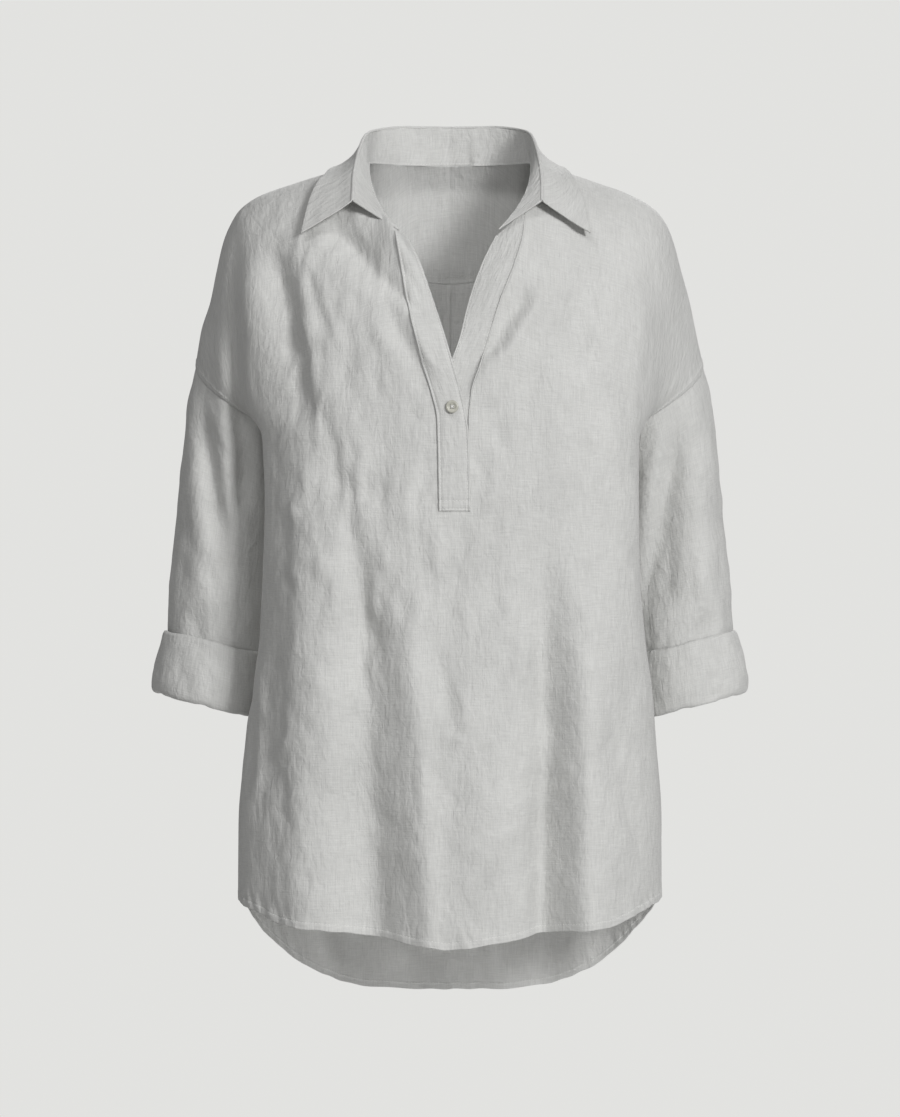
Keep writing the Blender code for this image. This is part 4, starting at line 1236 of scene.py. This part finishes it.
def off_seam(turn):
    """1 round a sleeve, and 0 at its outer line, where its mesh closes."""
    return smooth(np.minimum(turn, 2.0 * math.pi - turn) / SEAM_QUIET)


def make_cuff(side, name, material):
    """A turned-up cuff: outer layer, fold and inner layer, with the sleeve's end inside."""
    turn = 2.0 * math.pi * ticks(CUFF_GIRTH, PITCH)
    step = np.linspace(0.0, CUFF_TURN[-1].step, CUFF_ROWS + 1)
    turn, step = np.meshgrid(turn, step)
    height = read(CUFF_TURN, step, "height")
    out = read(CUFF_TURN, step, "out")
    outer = smooth((CUFF_LINED_FROM - step) / 2.0)
    sway = np.sin(2.0 * turn + 0.6 * side) * 0.5 + np.sin(5.0 * turn + 1.3) * 0.3
    sway = sway + np.sin(9.0 * turn + 0.4 + side) * 0.2
    sway = sway - CUFF_DIP * bell(np.minimum(turn, 2.0 * math.pi - turn), CUFF_DIP_WIDTH)
    height = height + RIM_SWAY * sway * smooth((height - 0.5) / 0.4) * outer
    bumps = 0.018 * np.sin(7.0 * turn + 2.0 * side) + 0.008 * np.sin(19.0 * turn + side)
    height = height + bumps * (1.0 - smooth(height / 0.3))
    plain = cuff_point(side, turn, height, out)
    around = turn / (2.0 * math.pi) * CUFF_GIRTH
    creases = scatter(CUFF_CRUMPLES, CUFF_SEEDS[side > 0])
    strewn = crease_height(creases, around, height * CUFF_HEIGHT) * off_seam(turn)
    swell = (strewn + rumple(plain, CUFF_RUMPLE)) * outer
    points = plain + spoke(side, turn) * swell[..., None]
    points[:, -1] = points[:, 0]
    piece = make_cloth(name, [(points, cut_map(around, distances(plain, 0)))], material, FIRM_WALL)


def make_collar(material, thread):
    """The collar's stand and its fall."""
    half = ticks(COLLAR_RUN, COLLAR_PITCH, (0.0,), FREE_EDGE)
    turn = np.concatenate((-half[:0:-1], half))
    make_stand(turn, material, thread)
    make_fall(turn, material, thread)


def make_stand(turn, material, thread):
    """The stand, up from the neckline to just under the fall."""
    seam, out = neck_point(turn)
    base = seam + out * STAND_LIFT
    top = collar_line(turn, "roll") + UPWARD * STAND_TOP
    upright = (top - base) / np.linalg.norm(top - base, axis=-1, keepdims=True)
    base = base - upright * STAND_LAP
    part = ticks(STAND_RUN, COLLAR_PITCH, FREE_EDGE, (0.0,))[:, None, None]
    stand = base + (top - base) * part
    run = distances(stand, 1)
    from_base = distances(stand, 0)
    gathers = STAND_GATHERS * pucker(run) * bell(from_base, STAND_GATHERED)
    swell = rumple(stand, STAND_RUMPLE) * smooth(from_ends(run) / STAND_STIFF_END)
    relief = edge_relief(from_base) + gathers + swell
    stand = stand + normals(stand) * relief[..., None]
    grids = [(stand, cut_map(run, from_base))]
    piece = make_cloth("collar_stand", grids, material, FIRM_WALL)
    facing = normals(stand)
    lines = [(stand[2], facing[2]), (stand[2], -facing[2])]
    stitches = sew("collar_stand", lines, FIRM_WALL, thread)


def make_fall(turn, material, thread):
    """The fall, over the roll line and down to the collar's edge."""
    roll = collar_line(turn, "roll")
    edge = collar_line(turn, "edge")
    aside = edge - roll
    aside[:, 2] = 0.0
    aside = aside / np.linalg.norm(aside, axis=-1, keepdims=True)
    middle = roll + UPWARD * ROLL_LIFT
    angles = np.linspace(math.pi, 0.0, ROLL_ROWS)[:, None, None]
    radius = ROLL_RADIUS + (LIFT - ROLL_RADIUS) * smooth((math.pi - angles) / ROLL_WIDENS)
    over = middle + radius * (aside * np.cos(angles) + UPWARD * np.sin(angles))
    start = middle + aside * LIFT
    away = np.abs(turn)[:, None]
    bulge = read(COLLAR, np.abs(turn), "bulge")[:, None]
    bulge = bulge - FALL_FLATTER * smooth((away - FALL_FLAT_FROM) / FALL_FLAT_OVER)
    crown = (start + edge) / 2 + (aside + UPWARD) * bulge
    part = ticks(FALL_RUN, FALL_PITCH, (0.0,), FREE_EDGE)[1:, None, None]
    rest = 1.0 - part
    fall = start * rest * rest + crown * 2.0 * part * rest + edge * part * part
    fall = np.concatenate((over, fall))
    run = distances(fall, 1)
    down = distances(fall, 0)
    ends = edge_relief(from_ends(run)) * smooth((down - FALL_CRISP_FROM) / FALL_CRISP_OVER)
    swell = rumple(fall, FALL_RUMPLE) * smooth((down - FALL_CRISP_FROM) / FALL_SWELLS_OVER)
    relief = edge_relief(down[-1:] - down) + ends + swell
    fall = fall - normals(fall) * relief[..., None]
    piece = make_cloth("collar_fall", [(fall, cut_map(run, down))], material, FIRM_WALL)
    facing = -normals(fall)
    first = ROLL_ROWS + 1
    lines = [(fall[-3, 2:-2], facing[-3, 2:-2])]
    lines += [(fall[first:-2, at], facing[first:-2, at]) for at in (2, -3)]
    stitches = sew("collar_fall", lines, FIRM_WALL, thread)


def make_band(look, material, thread):
    """A band of the placket, from its sewn edge to its free edge."""
    table, tops = look.table, look.tops
    across = ticks(BAND_WIDTH, BAND_PITCH[0], BAND_EDGE, BAND_EDGE)[None, :]
    low = BOX_ROWS if look.boxed else BAND_EDGE
    down = ticks(BAND_RUN, BAND_PITCH[1], low, BAND_EDGE)[:, None]
    top = tops[0] + (tops[1] - tops[0]) * across
    height = table[0].height + (top - table[0].height) * down
    sewn = read(table, height, "sewn") + look.tuck
    free = read(table, height, "free")
    sewn_lift = look.sewn_lift
    if look.boxed:
        free = free + FREE_LAP * smooth((UNDER_FROM - height) / 20.0 + 0.5)
    else:
        over = between(height, UNDER_FROM, 35.0, UNDER_TO, 25.0)
        sewn_lift = sewn_lift + (BAND_LOOKS[0].sewn_lift - sewn_lift) * over
    share, rise = find_front(sewn + (free - sewn) * across, height)
    inside = across * np.abs(free - sewn)
    if look.boxed:
        inside = np.minimum(inside, (1.0 - across) * np.abs(free - sewn))
        inside = np.minimum(inside, down * BAND_RUN)
    lift = sewn_lift + (look.lift - sewn_lift) * smooth(inside / BAND_LIFTS_OVER)
    plain_x = cloth_point("front", share, rise)[..., 0]
    points = dressed("front", share, rise, plain_x, lift)
    points[..., 1] += read(table, height, "turned_in") * across ** TURN_IN_POWER
    run = distances(points, 1)
    up = distances(points, 0)
    way = 1.0 if free[0, 0] > sewn[0, 0] else -1.0
    from_edges = from_ends(run)
    gathers = BAND_GATHERS * pucker(up) * np.exp(-from_edges / BAND_GATHERED)
    relief = edge_relief(from_edges, BAND_CRISP) + gathers
    if look.boxed:
        for row_height in BOX_STITCHES:
            relief = relief - BOX_GROOVE * bell(up - row_height, BOX_GROOVE_WIDTH)
    points = points + way * normals(points) * relief[..., None]
    piece = make_cloth(look.name, [(points, cut_map(run, up))], material, FIRM_WALL)
    facing = way * normals(points)
    lines = [(points[3:-3, at], facing[3:-3, at]) for at in (3, -4)]
    if look.boxed:
        lines += [(points[row, 3:-3], facing[row, 3:-3]) for row in (3, 8)]
    stitches = sew(look.name, lines, FIRM_WALL, thread)


# ---- Materials ----

LINEN_TONE = (0.60, 0.60, 0.585)
# a lighter copy of the same linen's tone for the back and the yoke: painted light
PAINTED_LIGHT_BACK_TONE = (0.64, 0.64, 0.625)
TONE_SPREAD = (0.80, 1.15)         # of its thin and thick threads
SHEER = 0.6                        # how much light passes through the back and the yoke
THREAD_WAVE = 2.0 * math.pi / (20.0 * 0.6)   # a wave each 0.6 mm
WEFT_SLUBS = (0.07, 1.3)           # grains of the cloth's noises per millimetre, each way
WARP_SLUBS = (1.3, 0.05)
CLOUDS = (0.018, 0.012)
CREASES = (0.19, 0.08)
CRINKLES = (0.06, 0.018)
PATCHES = (0.014, 0.01)


class Nodes:
    """Adds and links the nodes of one material."""

    def __init__(self, name):
        self.material = bpy.data.materials.new(name)
        self.material.use_nodes = True
        self.tree = self.material.node_tree
        self.shader = self.tree.nodes["Principled BSDF"]

    def put(self, node, **sockets):
        """Links or sets a node's sockets, named with _ for a space, or numbered."""
        for name, value in sockets.items():
            name = name.replace("_", " ")
            socket = node.inputs[int(name[1:]) if name[1:].isdigit() else name]
            if isinstance(value, bpy.types.NodeSocket):
                self.tree.links.new(value, socket)
            else:
                socket.default_value = value

    def add(self, kind, settings=(), **sockets):
        node = self.tree.nodes.new("ShaderNode" + kind)
        for name, value in dict(settings).items():
            setattr(node, name, value)
        self.put(node, **sockets)
        return node

    def place(self):
        """A place on the piece itself, which rides along with it."""
        return self.add("TexCoord").outputs["Object"]

    def maths(self, operation, first, second):
        return self.add("Math", {"operation": operation}, _0=first, _1=second).outputs[0]

    def blend(self, *parts):
        """The sum of values, each with its weight."""
        total = 0.0
        for value, weight in parts:
            total = self.maths("ADD", total, self.maths("MULTIPLY", value, weight))
        return total

    def mottle(self, vector, scale, detail, seed, kind="FBM"):
        """Noise on the cut cloth, its grain as long as 1/scale millimetres each way."""
        moved = self.add(
            "Mapping", Vector=vector, Scale=(*scale, 1.0), Location=(seed, seed, 0.0)
        )
        grain = self.add(
            "TexNoise", {"noise_type": kind, "normalize": kind == "FBM"},
            Vector=moved.outputs[0], Scale=1.0, Detail=detail, Distortion=0.4,
        )
        return grain.outputs["Fac"]

    def ramp(self, value, low, high, start=0.0):
        """A colour between two, from a value between start and 1."""
        ramp = self.add("ValToRGB", Fac=value)
        first, last = ramp.color_ramp.elements
        first.position, last.position = start, 1.0
        first.color, last.color = (*low, 1.0), (*high, 1.0)
        return ramp.outputs[0]

    def bump(self, height, strength, distance, **normal):
        bump = self.add("Bump", Height=height, Strength=strength, Distance=distance, **normal)
        return bump.outputs[0]

    def finish(self, **sockets):
        """The material, once its shader's sockets are linked or set."""
        self.put(self.shader, **sockets)
        return self.material


def linen(name, seed=0.0, sheer=0.0, tone=LINEN_TONE):
    """Plain woven linen: threads with slubs both ways, small creases and a faint nap."""
    nodes = Nodes(name)
    place = nodes.add("UVMap", {"uv_map": "cut"}).outputs[0]
    place = nodes.add("Mapping", Vector=place, Scale=(1 / MM, 1 / MM, 1 / MM)).outputs[0]
    warp, weft = (
        nodes.add(
            "TexWave", {"bands_direction": direction},
            Vector=place, Scale=THREAD_WAVE, Distortion=1.4, Detail=2.0, Detail_Scale=0.5,
        ).outputs["Fac"]
        for direction in ("X", "Y")
    )
    weave = nodes.blend((warp, 0.5), (weft, 0.5))
    weft_slubs = nodes.mottle(place, WEFT_SLUBS, 3.0, seed)
    warp_slubs = nodes.mottle(place, WARP_SLUBS, 3.0, seed + 7.0)
    slubs = nodes.maths("ADD", weft_slubs, warp_slubs)
    clouds = nodes.mottle(place, CLOUDS, 2.0, seed + 3.0)
    shade = nodes.blend((slubs, 0.5), (clouds, 0.35), (weave, 0.12))
    low, high = (tuple(part * value for value in tone) for part in TONE_SPREAD)

    creases = nodes.mottle(place, CREASES, 4.0, seed + 5.0)
    crinkles = nodes.mottle(place, CRINKLES, 3.0, seed + 17.0, "RIDGED_MULTIFRACTAL")
    patches = nodes.mottle(place, PATCHES, 1.0, seed + 29.0)
    crinkles = nodes.maths("MULTIPLY", crinkles, nodes.maths("MULTIPLY", patches, 1.1))
    flat = nodes.bump(nodes.maths("ADD", creases, crinkles), 0.7, 0.002)
    thick = nodes.bump(slubs, 0.5, 0.0005, Normal=flat)
    fine = nodes.bump(weave, 0.4, 0.0002, Normal=thick)
    nodes.material.diffuse_color = (*tone, 1.0)
    return nodes.finish(
        Base_Color=nodes.ramp(shade, low, high, start=0.45), Normal=fine,
        Roughness=0.88, Specular_IOR_Level=0.25, Sheen_Weight=0.18, Sheen_Roughness=0.45,
        Subsurface_Weight=sheer, Subsurface_Scale=0.003, Subsurface_Radius=(1.0, 1.0, 1.0),
    )


def sewing_thread():
    """Twisted sewing thread, a little lighter than the linen."""
    nodes = Nodes("linen_thread")
    twist = nodes.add("TexNoise", Vector=nodes.place(), Scale=1500.0, Detail=2.0)
    twist = twist.outputs["Fac"]
    return nodes.finish(
        Base_Color=nodes.ramp(twist, (0.70, 0.70, 0.68), (0.86, 0.86, 0.84)),
        Normal=nodes.bump(twist, 0.4, 0.0001), Roughness=0.7, Sheen_Weight=0.2,
    )


def button_resin():
    """Off-white resin with faint clouding and a soft polish."""
    nodes = Nodes("button_resin")
    place = nodes.place()
    cloud = nodes.add("TexNoise", Vector=place, Scale=260.0, Detail=3.0).outputs["Fac"]
    fine = nodes.add("TexNoise", Vector=place, Scale=2400.0, Detail=2.0).outputs["Fac"]
    return nodes.finish(
        Base_Color=nodes.ramp(cloud, (0.36, 0.36, 0.31), (0.54, 0.53, 0.47)),
        Normal=nodes.bump(fine, 0.15, 0.00005),
        Roughness=0.32, Coat_Weight=0.25, Coat_Roughness=0.25,
    )


# ---- The button ----

Turned = namedtuple("Turned", "out up")
BUTTON_PROFILE = rows_of(  # as shares of its radius and of half its thickness
    Turned,
    (0.00, 0.30),
    (0.42, 0.30),
    (0.52, 0.38),
    (0.60, 0.72),
    (0.68, 0.96),
    (0.78, 1.00),
    (0.90, 0.92),
    (0.97, 0.62),
    (1.00, 0.10),
    (0.98, -0.50),
    (0.90, -0.92),
    (0.80, -1.00),
    (0.00, -1.00),
)
BUTTON_STEPS = 64
HOLE_STEPS = 24
HOLE_ANGLES = [math.pi / 4 + quarter * math.pi / 2 for quarter in range(4)]
HOLE_REACH = HOLE_SPACING * math.sqrt(2)
BUTTON_CLEARANCE = 0.4             # over the band
CREST = math.radians(40)           # sharpest turn that is shaded round
SEWN_HOLES = ((0, -0.22), (0, 0.22), (1, -0.22), (1, 0.22))  # hole, and shift beside it
SEWN_RADIUS = 0.24
SEWN_FLATNESS = 0.75               # of the arches, whose ends are halfway down the holes
SEWN_SIDES, SEWN_STEPS = 8, 18


def turned_button():
    """The button turned about Z at the origin, with a raised rim."""
    mesh = bmesh.new()
    corners = [
        mesh.verts.new((spot.out * BUTTON_RADIUS * MM, 0.0, spot.up * BUTTON_THICK / 2 * MM))
        for spot in BUTTON_PROFILE
    ]
    edges = [mesh.edges.new(pair) for pair in zip(corners, corners[1:])]
    bmesh.ops.spin(
        mesh, geom=corners + edges, axis=(0, 0, 1), cent=(0, 0, 0),
        angle=2 * math.pi, steps=BUTTON_STEPS, use_merge=True,
    )
    bmesh.ops.remove_doubles(mesh, verts=mesh.verts, dist=0.00001)
    bmesh.ops.recalc_face_normals(mesh, faces=mesh.faces)
    return add_object("button_blank", finished(mesh, "button_blank"))


def hole_cutter(angle):
    """A rod through the button where one of its holes goes."""
    mesh = bmesh.new()
    bmesh.ops.create_cone(
        mesh, cap_ends=True, segments=HOLE_STEPS,
        radius1=BUTTON_HOLE * MM, radius2=BUTTON_HOLE * MM, depth=3 * BUTTON_THICK * MM,
    )
    spot = Vector((math.cos(angle), math.sin(angle), 0.0)) * HOLE_REACH * MM
    bmesh.ops.translate(mesh, verts=mesh.verts, vec=spot)
    return add_object("hole_cutter", finished(mesh, "hole"))


def bored_button():
    """The mesh of the turned button with its four holes."""
    blank = turned_button()
    cutters = [hole_cutter(angle) for angle in HOLE_ANGLES]
    for cutter in cutters:
        cut = blank.modifiers.new("hole", "BOOLEAN")
        cut.operation = "DIFFERENCE"
        cut.object = cutter
    bpy.context.view_layer.update()
    graph = bpy.context.evaluated_depsgraph_get()
    bored = bpy.data.meshes.new_from_object(blank.evaluated_get(graph))
    for spare in (blank, *cutters):
        bpy.data.objects.remove(spare)
    return bored


def button_seat():
    """Where the button lies on the overlap, and how it is turned."""
    share, rise = find_front(*BUTTON_PLACE)
    off = BAND_LOOKS[0].lift + FIRM_WALL / 2 + BUTTON_THICK / 2 + BUTTON_CLEARANCE
    place = cloth("front", share, rise, off)
    facing = outward("front", share, rise)
    pitch = math.atan2(-facing[1], facing[2])
    yaw = math.atan2(facing[0], -facing[1])
    turn = Quaternion((0, 0, 1), yaw) @ Quaternion((1, 0, 0), pitch)
    return Matrix.Translation(Vector(place * MM)) @ turn.to_matrix().to_4x4()


def sewn_arches(seat):
    """The thread: arches from hole to hole across the button, two side by side."""
    mesh = bmesh.new()
    for hole, shift in SEWN_HOLES:
        ring = bmesh.ops.create_circle(mesh, segments=SEWN_SIDES, radius=SEWN_RADIUS * MM)
        ring = ring["verts"]
        bmesh.ops.translate(mesh, verts=ring, vec=(-HOLE_REACH * MM, shift * MM, 0.0))
        edges = list({edge for vertex in ring for edge in vertex.link_edges})
        bmesh.ops.spin(
            mesh, geom=ring + edges, axis=(0, 1, 0), cent=(0, 0, 0),
            angle=math.pi, steps=SEWN_STEPS,
        )
        arch = list({vertex for face in mesh.faces if not face.tag for vertex in face.verts})
        for face in mesh.faces:
            face.tag = True
        for vertex in arch:
            vertex.co.z *= SEWN_FLATNESS
        bmesh.ops.transform(mesh, verts=arch, matrix=Matrix.Rotation(HOLE_ANGLES[hole], 4, "Z"))
    bmesh.ops.holes_fill(mesh, edges=[edge for edge in mesh.edges if edge.is_boundary])
    bmesh.ops.recalc_face_normals(mesh, faces=mesh.faces)
    bmesh.ops.transform(mesh, verts=mesh.verts, matrix=seat)
    return finished(mesh, "button_thread")


def make_button(resin, thread):
    """The button, and the thread through its four holes."""
    seat = button_seat()
    bored = bored_button()
    bored.name = "button_turned"
    bored.transform(seat)
    bored.materials.clear()
    add_piece("button_turned", bored, resin, "button")
    bored.set_sharp_from_angle(angle=CREST)
    add_piece("button_thread", sewn_arches(seat), thread)


# ---- Camera, floor and light ----

SENSOR = 36.0
CAMERA_DISTANCE = 3500.0
CAMERA_HEIGHT = -356.7
CLIP = (0.05, 60.0)                # nearest and farthest that it shows, in metres
VIEW_HEIGHT = 1038.8               # what the picture's height spans at the origin's depth
FLOOR_HEIGHT = -1450.0             # the neck of someone standing is about this high
FLOOR_RADIUS = 3.0                 # in metres, as is all that follows
FLOOR_FADE = (0.8, 2.9)            # distances where the floor starts and ends to fade
FLOOR_COLOUR = (0.72, 0.72, 0.71)
BACKDROP = (0.762, 0.762, 0.745)
AMBIENT = 0.19
AIM = (0.0, 0.0, -0.35)
Lamp = namedtuple("Lamp", "name place size power")
LAMPS = rows_of(
    Lamp,
    ("key_lamp", (2.8, -4.4, 1.5), 1.3, 204.0),
    ("low_lamp", (0.6, -3.4, -0.9), 1.6, 10.0),
    ("rear_lamp", (0.4, 2.6, 1.4), 1.6, 62.0),
    ("crown_lamp", (-0.6, -1.3, 1.7), 0.6, 10.0),
)


def make_camera():
    """The camera, level and straight ahead, as far as the photo's flat view asks."""
    camera = bpy.data.cameras.new("camera")
    camera.lens = SENSOR * CAMERA_DISTANCE / VIEW_HEIGHT
    camera.sensor_width = SENSOR
    camera.clip_start, camera.clip_end = CLIP
    eye = add_object("camera", camera)
    eye.location = (0.0, -CAMERA_DISTANCE * MM, CAMERA_HEIGHT * MM)
    eye.rotation_euler = (math.pi / 2, 0.0, 0.0)
    bpy.context.scene.camera = eye


def make_light():
    """Soft square lamps that face the blouse, in a pale backdrop with an even light."""
    for lamp in LAMPS:
        light = bpy.data.lights.new(lamp.name, "AREA")
        light.shape = "SQUARE"
        light.size = lamp.size
        light.energy = lamp.power
        hung = add_object(lamp.name, light)
        hung.location = lamp.place
        way = Vector(AIM) - Vector(lamp.place)
        hung.rotation_euler = way.to_track_quat("-Z", "Y").to_euler()

    world = bpy.data.worlds.new("studio")
    bpy.context.scene.world = world
    world.use_nodes = True
    tree = world.node_tree
    shown = tree.nodes["Background"]
    shown.inputs["Color"].default_value = (*BACKDROP, 1.0)
    shown.inputs["Strength"].default_value = 1.0
    around = tree.nodes.new("ShaderNodeBackground")
    around.inputs["Color"].default_value = (1.0, 1.0, 1.0, 1.0)
    around.inputs["Strength"].default_value = AMBIENT
    path = tree.nodes.new("ShaderNodeLightPath")
    mix = tree.nodes.new("ShaderNodeMixShader")
    tree.links.new(path.outputs["Is Camera Ray"], mix.inputs[0])
    tree.links.new(around.outputs[0], mix.inputs[1])
    tree.links.new(shown.outputs[0], mix.inputs[2])
    tree.links.new(mix.outputs[0], tree.nodes["World Output"].inputs["Surface"])
    bpy.context.scene.view_settings.view_transform = "Standard"


def make_floor():
    """A round pale floor that fades into the backdrop."""
    mesh = bmesh.new()
    bmesh.ops.create_circle(mesh, cap_ends=True, segments=96, radius=FLOOR_RADIUS)
    bmesh.ops.translate(mesh, verts=mesh.verts, vec=(0, 0, FLOOR_HEIGHT * MM))
    nodes = Nodes("floor_paper")
    flat = nodes.add("Mapping", Vector=nodes.place(), Scale=(1.0, 1.0, 0.0)).outputs[0]
    far = nodes.add("VectorMath", {"operation": "LENGTH"}, Vector=flat).outputs["Value"]
    fade = nodes.add(
        "MapRange", Value=far, From_Min=FLOOR_FADE[0], From_Max=FLOOR_FADE[1],
        To_Min=1.0, To_Max=0.0,
    )
    paper = nodes.finish(
        Base_Color=(*FLOOR_COLOUR, 1.0), Roughness=0.9, Alpha=fade.outputs[0]
    )
    data = finished(mesh, "floor")
    data.materials.append(paper)
    add_object("floor", data)


def main():
    """Makes the camera, the stage and every piece of the blouse."""
    make_camera()
    make_floor()
    make_light()
    thread = sewing_thread()
    make_front(linen("front_linen"), thread)
    # the back and the yoke take the lighter copy of the linen's tone, which is painted light
    make_back(linen("back_linen", 11.0, SHEER, PAINTED_LIGHT_BACK_TONE), thread)
    make_yoke(linen("yoke_linen", 23.0, SHEER, PAINTED_LIGHT_BACK_TONE), thread)
    for side, name in ((-1.0, "right"), (1.0, "left")):
        make_sleeve(side, "sleeve_" + name, linen("sleeve_" + name + "_linen", 31.0 + side))
        make_cuff(side, "cuff_" + name, linen("cuff_" + name + "_linen", 41.0 + side))
    make_collar(linen("collar_linen", 53.0), thread)
    band = linen("placket_linen", 61.0)
    for look in BAND_LOOKS:
        make_band(look, band, thread)
    make_button(button_resin(), thread)


main()
bpy.context.view_layer.update()
